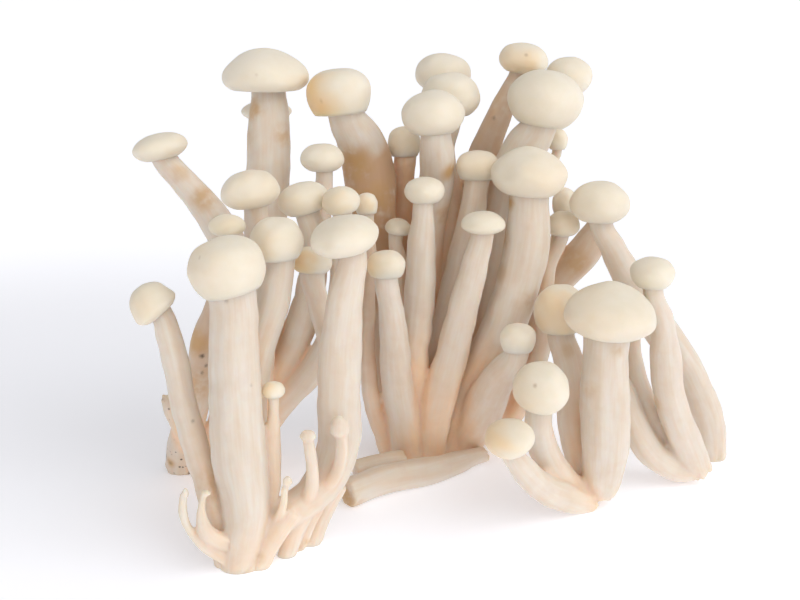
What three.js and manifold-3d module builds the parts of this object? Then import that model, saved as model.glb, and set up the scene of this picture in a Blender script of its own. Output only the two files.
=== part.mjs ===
// A cluster of white beech mushrooms, as cut for the kitchen: clumps of pale stems that grew
// together at the foot, each stem with its own ivory cap, standing unheld on their cut ends.
// Millimetres, +Z up, with +X along the length of the bunch and its lowest caps towards -Y.
import * as THREE from "three";
import { mergeVertices } from "three/addons/utils/BufferGeometryUtils.js";
import Module from "manifold-3d";

const wasm = await Module();
wasm.setup();

// Driving dimensions.
const CONTACT_GAP = 0.3; // left between a cap and the top of its stem
const STEM_SIDES = 8;
const SLAB = 400; // side of the block that trims the feet flat at the surface

// Cap forms: a cap of at least `from` across has `sides` round it, every second one a gill.
const CAP_FORMS = [
  { from: 13, sides: 22 },
  { from: 7.5, sides: 16 },
  { from: 0, sides: 10 },
];
const GILLED_FROM = 7.5; // a smaller button has its margin still rolled against the stem
const DOME_ANGLES = [30, 60, 90]; // degrees down from the crown to the widest line
const DOME_FULLNESS = 0.92; // under 1 swells the shoulders of the dome
// The margin rolls under along an ellipse to its lowest edge: shares of the cap's radius.
const MARGIN = { lowest: 0.62, beyondSeat: 0.08, shoulder: 0.26 };
// Heights above the lowest edge, as shares of the radius.
const GILLS = { inset: 0.04, ridge: 0.02, groove: 0.17 }; // outer ends of the gills
const HUB = { rise: 0.26, clearance: 0.5 }; // flat seat round the stem
const BUTTON = { inset: 0, rise: 0.12, clearance: 0.4 };
const NECK = { share: 0.3, spare: 0.5 }; // straight stem under a seat: share of the cap's radius
const WOBBLE = { share: 0.02, lobes: 3 }; // how far a cap strays from round, and how often
const GOLDEN_ANGLE = Math.PI * (3 - Math.sqrt(5)); // turns each cap's lobes from the last one's
const PINHEAD_SIDES = { around: 8, down: 6 };
const WELD = 1e-4; // points closer than this are one

// Finishes.
const CAP_SKIN = { color: 0xf0e6d2, roughness: 0.62, metalness: 0 };
const STEM_FLESH = { color: 0xe2d6c8, roughness: 0.55, metalness: 0 };

// The mushrooms, clump by clump. A cap is [x, y, z of its widest line, breadth, height above it,
// depth below it], with a lean in degrees to [+X, +Y]; `open` takes its lowest edge out to that
// share of its radius. A stem is [x, y, z, radius] from the cap to the foot.
// `pin` marks a pinhead, which is part of its stem, and a stem with no cap is a stub.
const CLUMPS = {
  front_left: [
    { // the thick one that stands in front
      cap: [-33.5, -50, 60, 15, 6, 5], lean: [-13, 0],
      stem: [[-32.5, -50, 53.5, 4.5], [-32.5, -51, 44.5, 5.0], [-31.5, -55, 22, 5.3],
        [-30.5, -56, 12, 4.6], [-32.5, -57, -1, 3.4]],
    },
    { // behind its right shoulder
      cap: [-25, -38, 62.5, 11, 5, 3.5], lean: [-3, 0],
      stem: [[-24, -38, 59, 3.2], [-25.5, -39, 52.5, 3.5], [-30, -42, 37.5, 3.7],
        [-31, -46, 25, 3.7], [-31.5, -51, 11.5, 3.4], [-32.5, -55, 0, 3.0]],
    },
    { // slim, its stem swept to the left
      cap: [-18.5, -30, 56.5, 8.5, 3, 2], lean: [5, 0],
      stem: [[-18.5, -30, 54.5, 2.5], [-17.5, -31, 48.5, 2.3], [-14, -34, 36, 2.5],
        [-13.5, -37, 28, 2.7], [-15, -43, 18, 2.7], [-21.5, -50, 9.5, 2.4],
        [-31.5, -55, -0.5, 2.0]],
    },
    { // broad cap, its foot bent over into the side arm
      cap: [-11, -42, 64, 14, 4.5, 3], lean: [-11, 0],
      stem: [[-9.5, -42, 60.5, 2.8], [-11, -43, 51.5, 3.6], [-12.5, -45, 31, 4.3],
        [-12.5, -46, 22.5, 4.3], [-14, -48, 17, 3.9], [-28.5, -55, 5, 3.2], [-32, -57, -0.5, 3.4]],
    },
    { // leans out to the left
      cap: [-48.5, -45, 50.5, 9.5, 5.5, 1.5], lean: [-40, 0],
      stem: [[-48, -45, 49.5, 2.2], [-46, -46, 45, 2.5], [-43.5, -48, 32, 2.6],
        [-38, -54, 15, 2.6], [-34.5, -56, -0.5, 2.5]],
    },
    { // short button before the thick stem
      cap: [-25, -51, 35, 4.5, 2, 1],
      stem: [[-25, -51, 33.5, 1.1], [-25.5, -51, 24.5, 1.7], [-25.5, -52, 16.5, 1.8],
        [-30, -56, 1, 1.8]],
    },
    { // pinhead on the middle of the arm
      pin: true,
      cap: [-18, -55, 27, 3.5, 1.5],
      stem: [[-18, -55, 26.5, 1.1], [-17.5, -55, 22, 1.3], [-17.5, -54, 16.5, 1.4],
        [-19, -52, 11, 1.4]],
    },
    { // pinhead on the right end of the arm
      pin: true,
      cap: [-12, -53, 27.5, 4, 3],
      stem: [[-11.5, -53, 26.5, 1.2], [-11.5, -53, 22.5, 1.3], [-13, -52, 17.5, 1.4],
        [-17, -50, 13, 1.4]],
    },
    { // pinhead on the left of the arm
      pin: true,
      cap: [-22, -58, 18.5, 2, 1.5],
      stem: [[-22.5, -58, 17.5, 0.8], [-23, -57, 13.5, 0.9], [-25, -55, 8, 1.0]],
    },
    { // curled pinhead at the foot
      pin: true,
      cap: [-37.5, -61, 17.5, 2.5, 1],
      stem: [[-38, -61, 17, 0.8], [-38.5, -61, 14, 0.9], [-38, -61, 10, 1.6], [-33.5, -58, 5, 1.6]],
    },
    { // outermost curled pinhead
      pin: true,
      cap: [-41.5, -61, 17.5, 1.5, 1.5],
      stem: [[-42, -61, 17.5, 0.7], [-42, -61, 12.5, 0.8], [-37.5, -60, 5, 1.2],
        [-34, -58, 2, 1.4]],
    },
    { // capless finger under the arm, from right to left
      stem: [[-14.5, -48, 14.5, 2.0], [-17.5, -49, 9, 1.8], [-21.5, -49, -0.5, 1.4]],
    },
    {
      stem: [[-13, -46, 13, 2.1], [-15.5, -46, 7.5, 1.9], [-19, -47, -2, 1.5]],
    },
    {
      stem: [[-18, -51, 13, 2.2], [-20.5, -51.5, 7.5, 2.0], [-24, -52, -2.5, 1.8]],
    },
    {
      stem: [[-21.5, -54, 10.5, 2.0], [-25, -56, 6, 2.0], [-29, -57, -1.5, 2.0]],
    },
  ],
  back_left: [
    { // the tall one with the widest cap
      cap: [-31, 6, 91.5, 20, 7, 2.5], open: 0.8,
      stem: [[-30.5, 6, 89, 4.2], [-30.5, 5, 82, 4.9], [-31.5, 0, 57, 5.1], [-32.5, -3, 41, 4.9],
        [-35.5, -6, 24.5, 4.7], [-39, -8, 10, 4.3], [-42, -9, -0.5, 3.8]],
    },
    { // half hidden behind it
      cap: [-32.5, 19, 82.5, 12.5, 2.5, 2],
      stem: [[-32.5, 19, 80, 2.4], [-34, 15, 61.5, 2.7], [-36.5, 8, 38, 2.9],
        [-39.5, 2, 19.5, 2.9], [-43, -7, -0.5, 2.4]],
    },
    { // its neck hooked out to the left
      cap: [-53.5, -8, 77.5, 12.5, 3, 2.5], lean: [-12, 0],
      stem: [[-51, -8, 75.5, 2.8], [-50.5, -8, 72, 2.9], [-42, -10, 62, 3.9],
        [-38.5, -11, 55.5, 4.2], [-37, -11, 38, 4.4], [-40, -10, 18.5, 4.0], [-46, -8, 0, 4.1]],
    },
    { // slim, swept to the left
      cap: [-17.5, -6, 74.5, 10, 3.5, 2.5],
      stem: [[-17, -6, 72, 2.0], [-17.5, -6, 65, 2.3], [-22, -8, 42, 2.8], [-27.5, -9, 28, 2.8],
        [-33.5, -10, 13.5, 2.8], [-38, -10, 0, 2.6]],
    },
    { // in front of the tall stem
      cap: [-31.5, -26, 70.5, 12.5, 4.5, 3], lean: [-7, 0],
      stem: [[-30.5, -26, 67, 2.5], [-30.5, -25, 62, 2.8], [-30.5, -20, 38.5, 3.1],
        [-32.5, -17, 23.5, 3.2], [-40.5, -12, -0.5, 3.1]],
    },
    { // beside it, bowed
      cap: [-21, -20, 68, 11, 3.5, 3], lean: [-14, 0],
      stem: [[-19.5, -20, 64, 2.8], [-18.5, -20, 60, 2.8], [-19.5, -17, 49, 3.1],
        [-22.5, -15, 37, 3.4], [-28, -13, 24.5, 3.5], [-33.5, -12, 11.5, 3.5],
        [-38, -11, -0.5, 3.3]],
    },
    { // the lowest bow of the three
      cap: [-12.5, -25, 68, 8, 3.5, 2], lean: [-8, 0],
      stem: [[-12.5, -25, 65.5, 2.1], [-12.5, -23, 57.5, 2.4], [-13.5, -21, 45.5, 2.6],
        [-16.5, -19, 34.5, 2.9], [-21.5, -17, 26, 2.9], [-27.5, -15, 19, 3.0], [-33, -13, 10, 3.0],
        [-37, -12, -0.5, 3.1]],
    },
    { // flat button, foot spread to the left
      cap: [-35.5, -33, 64.5, 7.5, 2.5, 1.5],
      stem: [[-36, -33, 63, 1.9], [-37, -30, 54.5, 2.3], [-39, -27, 46, 2.8],
        [-42.5, -24, 37.5, 3.2], [-45, -20, 25.5, 3.3], [-51.5, -9, 5.5, 4.0], [-52, -7, 0.5, 4.3]],
    },
    { // capless nub on the left of the foot
      stem: [[-48.5, -14, 10, 2.8], [-50.5, -15, 14, 2.4], [-52.5, -16, 19.5, 2.2],
        [-53.5, -16, 21.5, 1.4]],
    },
  ],
  back_middle: [
    { // thick, its neck bent to the right
      cap: [-14, 1.5, 89, 15, 5, 5], lean: [-5, 0], open: 0.8,
      stem: [[-12, 2, 84, 4.0], [-10.5, 4, 79.5, 5.0], [-9, 6, 76, 5.6], [-6.5, 6, 57, 5.5],
        [-6, 9, 37.5, 4.9], [-4, 12, 18.5, 4.5], [-1, 14, -1, 4.1]],
    },
    { // the rearmost
      cap: [10.5, 25, 91, 14, 5, 3.5],
      stem: [[10, 25, 87.5, 3.5], [10, 25, 77, 3.7], [9.5, 24, 59.5, 3.8], [7.5, 21, 39.5, 3.8],
        [5, 18, 19, 3.8], [3, 16, -1, 3.6]],
    },
    { // before it
      cap: [12, 11, 86.5, 14, 6, 4],
      stem: [[11, 11, 82, 3.1], [10, 12, 75, 3.2], [11, 13, 61.5, 4.3], [8, 14, 36, 3.9],
        [7, 14, 20.5, 3.8], [5, 14, -0.5, 3.6]],
    },
    { // the foremost of the three tall ones
      cap: [7.5, -3, 84, 14.5, 5.5, 4], lean: [-4, 0],
      stem: [[8.5, -3, 79.5, 3.4], [8.5, -1, 75.5, 3.8], [8.5, 3, 68, 3.9], [7, 6, 55.5, 3.8],
        [6, 9, 37.5, 3.9], [4.5, 11, 19, 3.8], [2.5, 12, -0.5, 3.6]],
    },
    { // small, to their left
      cap: [1, 10, 76, 8, 4, 3],
      stem: [[1.5, 10, 72.5, 2.4], [1, 11, 67, 2.6], [0, 13, 46.5, 3.2], [0, 13, 28.5, 3.3],
        [1, 13, -0.5, 3.1]],
    },
    { // long, leaning to the right
      cap: [29.5, 16, 95, 12, 4, 3], lean: [8, 0],
      stem: [[28, 16, 92, 2.4], [26.5, 16, 87.5, 2.6], [20.5, 16, 73.5, 3.6], [15, 16, 48.5, 4.0],
        [12, 15, 28, 3.8], [9.5, 14, 10, 3.6], [7.5, 14, -0.5, 3.6]],
    },
  ],
  middle: [
    { // thin button on the left
      cap: [-7.5, -10, 65, 5, 2.5, 2],
      stem: [[-7.5, -10, 62.5, 1.6], [-7, -10, 54.5, 1.7], [-7.5, -10, 33, 1.8], [-7, -8, 20, 2.0],
        [-2.5, -1, 0, 2.2]],
    },
    { // straight, in the middle
      cap: [5.5, -10, 68, 9, 3, 2.5],
      stem: [[5, -10, 65, 2.2], [5, -10, 58, 3.0], [4.5, -8, 42, 3.5], [3.5, -7, 30, 3.3],
        [3.5, -4, 16.5, 3.1], [3.5, -1, 0, 2.7]],
    },
    { // right of it, leaning
      cap: [18, 1, 72, 10, 3.5, 3],
      stem: [[17, 1, 68.5, 3.0], [17, 1, 61.5, 3.3], [13, 2, 41.5, 3.8], [10, 2, 28, 3.9],
        [8, 3, 14, 3.7], [6.5, 3, -0.5, 3.5]],
    },
    { // flat cap, leaning forward
      cap: [18.5, -14, 61, 10, 3, 1.5],
      stem: [[18, -14, 59, 2.4], [17, -14, 53, 2.8], [12, -10, 29.5, 3.7], [8, -5, 9, 3.6],
        [7.5, -3, 1, 3.2]],
    },
    { // the thickest of the clump
      cap: [29, -8, 71, 17, 6.5, 4], lean: [3, 0],
      stem: [[29, -8, 66.5, 4.5], [29, -8, 58.5, 5.0], [25, -7, 38.5, 5.2], [16.5, -0.5, 15, 5.1],
        [13, 2.5, 1, 4.6]],
    },
    { // short, leaning out of its foot
      cap: [26, -22, 37.5, 8, 3, 3],
      stem: [[25.5, -22, 34.5, 2.4], [23.5, -18, 28.5, 3.4], [18, -1.5, 9.5, 5.0],
        [15, 2.5, 2.5, 4.7], [13, 4, -1.5, 4.0]],
    },
    { // small tilted button
      cap: [-0.5, -4, 58, 6, 2.5, 1], lean: [9, 0],
      stem: [[-1, -4, 57, 1.7], [-0.5, -4, 50.5, 1.9], [1, -3, 28.5, 2.4], [3, -2, 15.5, 2.4],
        [4, -1, 1, 2.5]],
    },
    { // leaning forward
      cap: [-3, -20, 53.5, 8.5, 3, 2.5],
      stem: [[-3, -20, 50, 2.6], [-2, -18, 42.5, 3.0], [-0.5, -10, 21, 3.9], [1, -5, 10.5, 4.2],
        [2, -2, 0.5, 4.4]],
    },
  ],
  front_right: [
    { // broad cap on a tapered stem
      cap: [44.5, -30, 44.5, 19.5, 7.5, 4], lean: [4, 0],
      stem: [[44, -30, 39.5, 5.0], [44, -30, 32.5, 5.3], [45, -29, 11.5, 5.1], [45, -28, 6.5, 4.4],
        [45, -27, 2.5, 3.1]],
    },
    { // close behind its left
      cap: [36, -15, 41.5, 12, 6, 4.5],
      stem: [[37.5, -15, 36.5, 3.2], [38, -17, 30.5, 3.4], [39.5, -22, 13, 3.4],
        [42.5, -26, 2.5, 2.8]],
    },
    { // cap turned up to the light
      cap: [29.5, -38, 31, 12, 5.5, 3.5], lean: [0, -30],
      stem: [[29.5, -36, 26, 2.8], [29.5, -35, 20.5, 3.1], [32, -33, 13.5, 3.1],
        [41.5, -28, 1.5, 2.7]],
    },
    { // lowest cap, its stem lying out
      cap: [22.5, -44, 22.5, 10.5, 3, 3], lean: [-5, -15],
      stem: [[23.5, -43, 19.5, 2.3], [26.5, -41, 13.5, 2.8], [31, -37, 8, 3.1], [37, -33, 4, 3.2],
        [42.5, -29, 1, 2.4]],
    },
  ],
  right: [
    { // outermost
      cap: [54.5, -24, 52.5, 9.5, 3.5, 3],
      stem: [[56.5, -24, 49.5, 2.3], [57.5, -23, 41.5, 2.7], [58.5, -22, 34.5, 3.4],
        [60.5, -20, 23.5, 3.6], [67.5, -16, 7, 3.8], [69.5, -15, 2.5, 3.3]],
    },
    { // behind the broad cap
      cap: [53, -11, 37, 8.5, 5, 1],
      stem: [[52, -11, 35, 2.3], [53.5, -12, 27.5, 2.7], [59.5, -13, 12, 3.3],
        [66.5, -13, 1.5, 3.3]],
    },
    { // hooked stem that lies along the foot
      cap: [47.5, -17, 32, 7, 3.5, 0.5],
      stem: [[48, -17, 31, 2.0], [50, -17, 24.5, 2.7], [60, -17, 6.5, 3.5], [64.5, -16, 4, 3.5],
        [69.5, -15, 4, 3.0]],
    },
  ],
  back_right: [
    { // the tallest cap of the clump
      cap: [33.5, 4, 87, 17.5, 6.5, 6], lean: [9, 0],
      stem: [[32, 4, 80.5, 4.2], [29.5, 5, 76, 4.9], [25, 9, 60, 5.0], [24, 11, 47, 4.9],
        [22, 12, 29, 4.7], [19, 12, 13, 4.6], [17, 12, -0.5, 4.1]],
    },
    { // behind its right
      cap: [41, 21, 90.5, 11.5, 5, 3.5],
      stem: [[40, 21, 86.5, 2.7], [37, 20, 80, 2.9], [33, 19, 73, 3.2], [30.5, 19, 60.5, 3.5],
        [28, 18, 45.5, 3.5], [25.5, 17, 27.5, 3.6], [23, 16, 12, 3.6], [21, 15, -1, 3.4]],
    },
    { // thin button
      cap: [38, 14, 76, 5, 3, 2],
      stem: [[37.5, 14, 74, 1.2], [35, 14, 68.5, 1.5], [32.5, 14, 54, 1.8], [30, 14, 39, 2.1],
        [25.5, 14, 18, 2.3], [22, 14, -0.5, 2.6]],
    },
    { // second button
      cap: [39.5, 9, 61.5, 6, 4, 2.5],
      stem: [[39, 9, 59, 1.7], [37.5, 8, 50.5, 1.9], [35.5, 9, 35, 2.2], [30, 10, 16.5, 2.5],
        [25, 11, 0, 2.5]],
    },
    { // third button
      cap: [38, -0.5, 58, 8, 3.5, 2],
      stem: [[37, 0, 55, 1.6], [35, 0, 48.5, 1.9], [34.5, 0, 40, 2.1], [34, 2, 27, 2.3],
        [30, 6, 12.5, 2.5], [25, 10, 0, 2.5]],
    },
    { // leans far to the right
      cap: [49, 9, 60, 9, 4.5, 1],
      stem: [[48, 9, 59, 2.8], [46, 9, 52, 3.9], [35.5, 9, 39.5, 4.0], [27, 9, 15.5, 3.8],
        [23, 10, 0, 3.6]],
    },
  ],
  far_right: [
    { // arched over to the right
      cap: [45.5, -6, 64, 13.5, 5.5, 3.5],
      stem: [[46, -6, 60.5, 2.7], [49, -6, 54, 3.1], [57, -4, 40, 4.0], [69, -2, 23, 4.0],
        [75.5, 0, 8.5, 3.9], [77, 0, -0.5, 3.4]],
    },
  ],
  lying_long: [
    { // the longer cut stem, thinner towards its root
      stem: [[-12, -28, 3, 3.6], [-3, -21, 3.5, 3.4], [6.5, -15.5, 3, 3.3], [20.5, -4, 2.5, 1.9]],
    },
  ],
  lying_short: [
    { // the shorter one behind it
      stem: [[-10.5, -15, 2.5, 2.8], [-4.5, -12.5, 3, 2.8], [1, -10, 3, 2.6]],
    },
  ],
};

// A closed solid from a stack of rings with the same number of points, closed by a fan at both
// ends. Each ring runs counterclockwise as seen from the first end.
function stackedSolid(first, rings, last) {
  const count = rings[0].length;
  const points = [first, ...rings.flat(), last];
  const at = (ring, i) => 1 + ring * count + (i % count);
  const end = points.length - 1;
  const index = [];
  for (let i = 0; i < count; i++) {
    index.push(0, at(0, i), at(0, i + 1));
    for (let ring = 0; ring + 1 < rings.length; ring++) {
      index.push(at(ring, i), at(ring + 1, i), at(ring, i + 1));
      index.push(at(ring, i + 1), at(ring + 1, i), at(ring + 1, i + 1));
    }
    index.push(end, at(rings.length - 1, i + 1), at(rings.length - 1, i));
  }
  return new THREE.BufferGeometry().setFromPoints(points).setIndex(index);
}

function toManifold(geometry) {
  const bare = new THREE.BufferGeometry();
  bare.setAttribute("position", geometry.getAttribute("position"));
  bare.setIndex(geometry.getIndex());
  const merged = mergeVertices(bare, WELD);
  return new wasm.Manifold(
    new wasm.Mesh({
      numProp: 3,
      vertProperties: new Float32Array(merged.getAttribute("position").array),
      triVerts: new Uint32Array(merged.getIndex().array),
    }),
  );
}

function toGeometry(manifold) {
  const mesh = manifold.getMesh();
  const geometry = new THREE.BufferGeometry();
  geometry.setAttribute("position", new THREE.BufferAttribute(mesh.vertProperties, mesh.numProp));
  geometry.setIndex(new THREE.BufferAttribute(mesh.triVerts, 1));
  geometry.computeVertexNormals();
  return geometry;
}

// The turn that leans a cap by so many degrees towards +X and +Y.
function leanTurn([toRight, toBack]) {
  const radians = THREE.MathUtils.degToRad;
  return new THREE.Quaternion().setFromEuler(
    new THREE.Euler(-radians(toBack), radians(toRight), 0),
  );
}

// Everything about one cap that its stem needs too: where its seat is, and which way it faces.
function capFrame({ cap: [x, y, z, breadth, height, depth], lean = [0, 0], stem, open }) {
  const turn = leanTurn(lean);
  const centre = new THREE.Vector3(x, y, z);
  const radius = breadth / 2;
  const gilled = breadth >= GILLED_FROM;
  const foot = new THREE.Vector3(...stem[0]).sub(centre).applyQuaternion(turn.clone().invert());
  const rise = (gilled ? HUB.rise : BUTTON.rise) * radius - depth;
  const seatRadius = stem[0][3] + (gilled ? HUB.clearance : BUTTON.clearance);
  const lowest = Math.max(open ?? MARGIN.lowest, seatRadius / radius + MARGIN.beyondSeat);
  const room = (lowest - (gilled ? GILLS.inset : BUTTON.inset)) * radius - seatRadius;
  const aside = new THREE.Vector2(foot.x, foot.y).clampLength(0, room);
  const hub = new THREE.Vector3(aside.x, aside.y, rise);
  const place = (point) => point.applyQuaternion(turn).add(centre);
  return { radius, height, depth, lowest, gilled, hub, seatRadius, turn, place };
}

// The points of one level ring of a cap; `radiusAt` and `heightAt` take the number of the point.
function capRing(sides, radiusAt, heightAt, offset = { x: 0, y: 0 }) {
  return Array.from({ length: sides }, (_, i) => {
    const angle = (2 * Math.PI * i) / sides;
    return new THREE.Vector3(
      offset.x + radiusAt(i) * Math.cos(angle),
      offset.y + radiusAt(i) * Math.sin(angle),
      heightAt(i),
    );
  });
}

// A cap: a dome, a margin rolled under it, and the gills, or a plain seat under a small button.
function capSolid(mushroom, number) {
  const { radius, height, depth, lowest, gilled, hub, seatRadius, place } = capFrame(mushroom);
  const { sides } = CAP_FORMS.find(({ from }) => 2 * radius >= from);
  const lobe = (i) => (2 * Math.PI * WOBBLE.lobes * i) / sides + number * GOLDEN_ANGLE;
  const breadthAt = (i) => radius * (1 + WOBBLE.share * Math.sin(lobe(i)));
  const ringAt = (reach, heightAt) => capRing(sides, (i) => reach * breadthAt(i), heightAt);

  const rings = DOME_ANGLES.map((degrees) => {
    const angle = THREE.MathUtils.degToRad(degrees);
    return ringAt(Math.sin(angle) ** DOME_FULLNESS, () => height * Math.cos(angle));
  });
  const shoulder = 1 - MARGIN.shoulder * (1 - lowest);
  const drop = depth * Math.sqrt((1 - shoulder ** 2) / (1 - lowest ** 2));
  rings.push(ringAt(shoulder, () => -drop), ringAt(lowest, () => -depth));
  if (gilled) {
    const edgeAt = (i) => radius * (i % 2 ? GILLS.groove : GILLS.ridge) - depth;
    rings.push(ringAt(lowest - GILLS.inset, edgeAt));
  }
  rings.push(capRing(sides, () => seatRadius, () => hub.z, hub));
  rings.flat().forEach(place);
  return stackedSolid(place(new THREE.Vector3(0, 0, height)), rings, place(hub.clone()));
}

// A stem: a ring at each point of its route, the first one flat against the seat of its cap and
// the next one straight below it, clear of the margin, before the stem starts to lean.
function stemSolid(mushroom) {
  const route = mushroom.stem.map(([x, y, z]) => new THREE.Vector3(x, y, z));
  const girth = mushroom.stem.map(([, , , radius]) => radius);
  let seatFacing = null;
  if (mushroom.cap && !mushroom.pin) {
    const { radius, hub, turn, place } = capFrame(mushroom);
    seatFacing = new THREE.Vector3(0, 0, 1).applyQuaternion(turn);
    const seat = place(hub.clone()).addScaledVector(seatFacing, -CONTACT_GAP);
    const neck = seat.clone().addScaledVector(seatFacing, -(NECK.share * radius + NECK.spare));
    route.splice(0, 1, seat, neck);
    girth.unshift(girth[0]);
  }
  const curve = new THREE.CatmullRomCurve3(route);
  const across = new THREE.Vector3(1, 0, 0);
  const rings = route.map((centre, i) => {
    const along = curve.getTangent(i / (route.length - 1)).negate();
    const up = i === 0 && seatFacing ? seatFacing : along;
    across.addScaledVector(up, -across.dot(up)).normalize();
    const beside = new THREE.Vector3().crossVectors(up, across);
    return capRing(STEM_SIDES, () => girth[i], () => 0).map(({ x, y }) =>
      centre.clone().addScaledVector(across, x).addScaledVector(beside, y),
    );
  });
  return stackedSolid(route[0], rings, route[route.length - 1]);
}

// A pinhead: a small rounded cap sunk over the tip of its stem.
function pinhead({ cap: [x, y, z, breadth, height] }) {
  const head = new THREE.SphereGeometry(1, PINHEAD_SIDES.around, PINHEAD_SIDES.down);
  head.rotateX(Math.PI / 2).scale(breadth / 2, breadth / 2, height);
  return head.translate(x, y, z);
}

// The stems of a clump as one solid, trimmed flat where its feet were cut.
function clumpSolid(mushrooms) {
  const parts = mushrooms.map((mushroom) => toManifold(stemSolid(mushroom)));
  mushrooms.filter(({ pin }) => pin).forEach((pin) => parts.push(toManifold(pinhead(pin))));
  const below = new THREE.BoxGeometry(SLAB, SLAB, SLAB).translate(0, 0, -SLAB / 2);
  const whole = parts.reduce((sum, part) => sum.add(part));
  return toGeometry(whole.subtract(toManifold(below)));
}

function namedMesh(name, geometry, finish) {
  const mesh = new THREE.Mesh(geometry, new THREE.MeshStandardMaterial(finish));
  mesh.name = name;
  return mesh;
}

const bunch = new THREE.Group();
for (const [clump, mushrooms] of Object.entries(CLUMPS)) {
  bunch.add(namedMesh(`stems_${clump}`, clumpSolid(mushrooms), STEM_FLESH));
  const capped = mushrooms.filter(({ cap, pin }) => cap && !pin);
  capped.forEach((mushroom, i) => {
    const cap = capSolid(mushroom, bunch.children.length);
    bunch.add(namedMesh(`cap_${clump}_${i + 1}`, cap, CAP_SKIN));
  });
}

// The origin is under the middle of the bunch, on the surface that it stands on.
const box = new THREE.Box3().setFromObject(bunch);
bunch.position.set(-(box.min.x + box.max.x) / 2, -(box.min.y + box.max.y) / 2, -box.min.z);

export default bunch;
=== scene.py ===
"""Looks of a cluster of white beech mushrooms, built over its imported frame.

Each clump of stems and each cap of the frame is replaced by a finer piece with the same
seats and routes. Sizes are millimetres while a piece is made, and its mesh is brought to
metres when it is finished.
"""

import logging
import math
from collections.abc import Iterator
from dataclasses import dataclass, field, fields
from enum import Enum

import bmesh
import bpy
import numpy as np
from mathutils import Euler, Matrix, Vector


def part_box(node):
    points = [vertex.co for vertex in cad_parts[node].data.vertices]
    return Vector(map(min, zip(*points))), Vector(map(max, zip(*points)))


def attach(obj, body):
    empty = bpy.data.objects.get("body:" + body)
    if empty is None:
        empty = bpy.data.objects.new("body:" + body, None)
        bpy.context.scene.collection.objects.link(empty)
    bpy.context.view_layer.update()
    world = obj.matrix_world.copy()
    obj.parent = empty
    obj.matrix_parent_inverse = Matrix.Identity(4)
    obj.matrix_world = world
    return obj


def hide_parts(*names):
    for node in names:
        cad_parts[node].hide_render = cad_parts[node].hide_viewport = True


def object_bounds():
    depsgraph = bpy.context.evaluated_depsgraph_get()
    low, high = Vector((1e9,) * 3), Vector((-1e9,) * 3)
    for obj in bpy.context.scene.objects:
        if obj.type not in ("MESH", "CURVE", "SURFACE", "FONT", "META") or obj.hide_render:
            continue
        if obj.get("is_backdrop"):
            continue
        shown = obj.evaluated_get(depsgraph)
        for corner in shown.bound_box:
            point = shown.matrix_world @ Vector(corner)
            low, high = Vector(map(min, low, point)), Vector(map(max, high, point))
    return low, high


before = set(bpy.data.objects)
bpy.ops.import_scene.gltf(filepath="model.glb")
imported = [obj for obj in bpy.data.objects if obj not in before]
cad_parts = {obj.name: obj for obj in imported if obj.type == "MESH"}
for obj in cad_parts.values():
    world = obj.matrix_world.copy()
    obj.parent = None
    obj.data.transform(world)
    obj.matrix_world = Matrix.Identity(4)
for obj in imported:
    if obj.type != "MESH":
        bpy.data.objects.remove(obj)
CAD_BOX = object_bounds()

LOG = logging.getLogger("mushrooms")
MM = 0.001  # metres

Array = np.ndarray
Point = tuple[float, float, float]
RoutePoint = tuple[float, float, float, float]
Color = tuple[float, float, float]
Paint = tuple[float, float, float, float]
Socket = bpy.types.NodeSocket
Material = bpy.types.Material
Mesh = bpy.types.Mesh
Body = bmesh.types.BMesh


class TanAndShade(Enum):
    """How far a cap's skin has turned from ivory to tan on one side, partly painted warm shade where
    that side is shaded.
    """

    NONE = 0.0
    FAINT = 0.2
    WARM = 0.5
    TAN = 1.0


@dataclass(frozen=True)
class Mushroom:
    """One mushroom in mm, in the table's own coordinates.

    Args:
        stem: x, y, z and radius from the cap to the foot.
        cap: x, y and z of the widest line, breadth, height above that line, and depth below.
        lean: Degrees the cap leans towards +X and +Y.
        pin: Whether it is a pinhead, which is part of its stem.
        tan_and_shade: How tan the cap is, partly painted warm shade on its shaded side.
        tan_and_shade_side: Degrees round the cap, from +X towards +Y, of its tannest side, mostly the
            shaded one.
        umbo: Height of the raised middle of the crown, as a share of the cap's height.
        fullness: Power on the dome's sine: under 1 swells its shoulders.
        margin: Share of the cap's radius at which its edge is lowest.
        waves: How much its edge waves, against the others.
        stain: How tan the stem is.
        stain_from: How far under the cap the stain begins.
    """

    stem: tuple[RoutePoint, ...]
    cap: tuple[float, ...] | None = None
    lean: tuple[float, float] = (0.0, 0.0)
    pin: bool = False
    tan_and_shade: TanAndShade = TanAndShade.NONE
    tan_and_shade_side: float = 200.0
    umbo: float = 0.0
    fullness: float = 0.92
    margin: float = 0.62
    waves: float = 1.0
    stain: float = 0.0
    stain_from: float = 0.0


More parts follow.
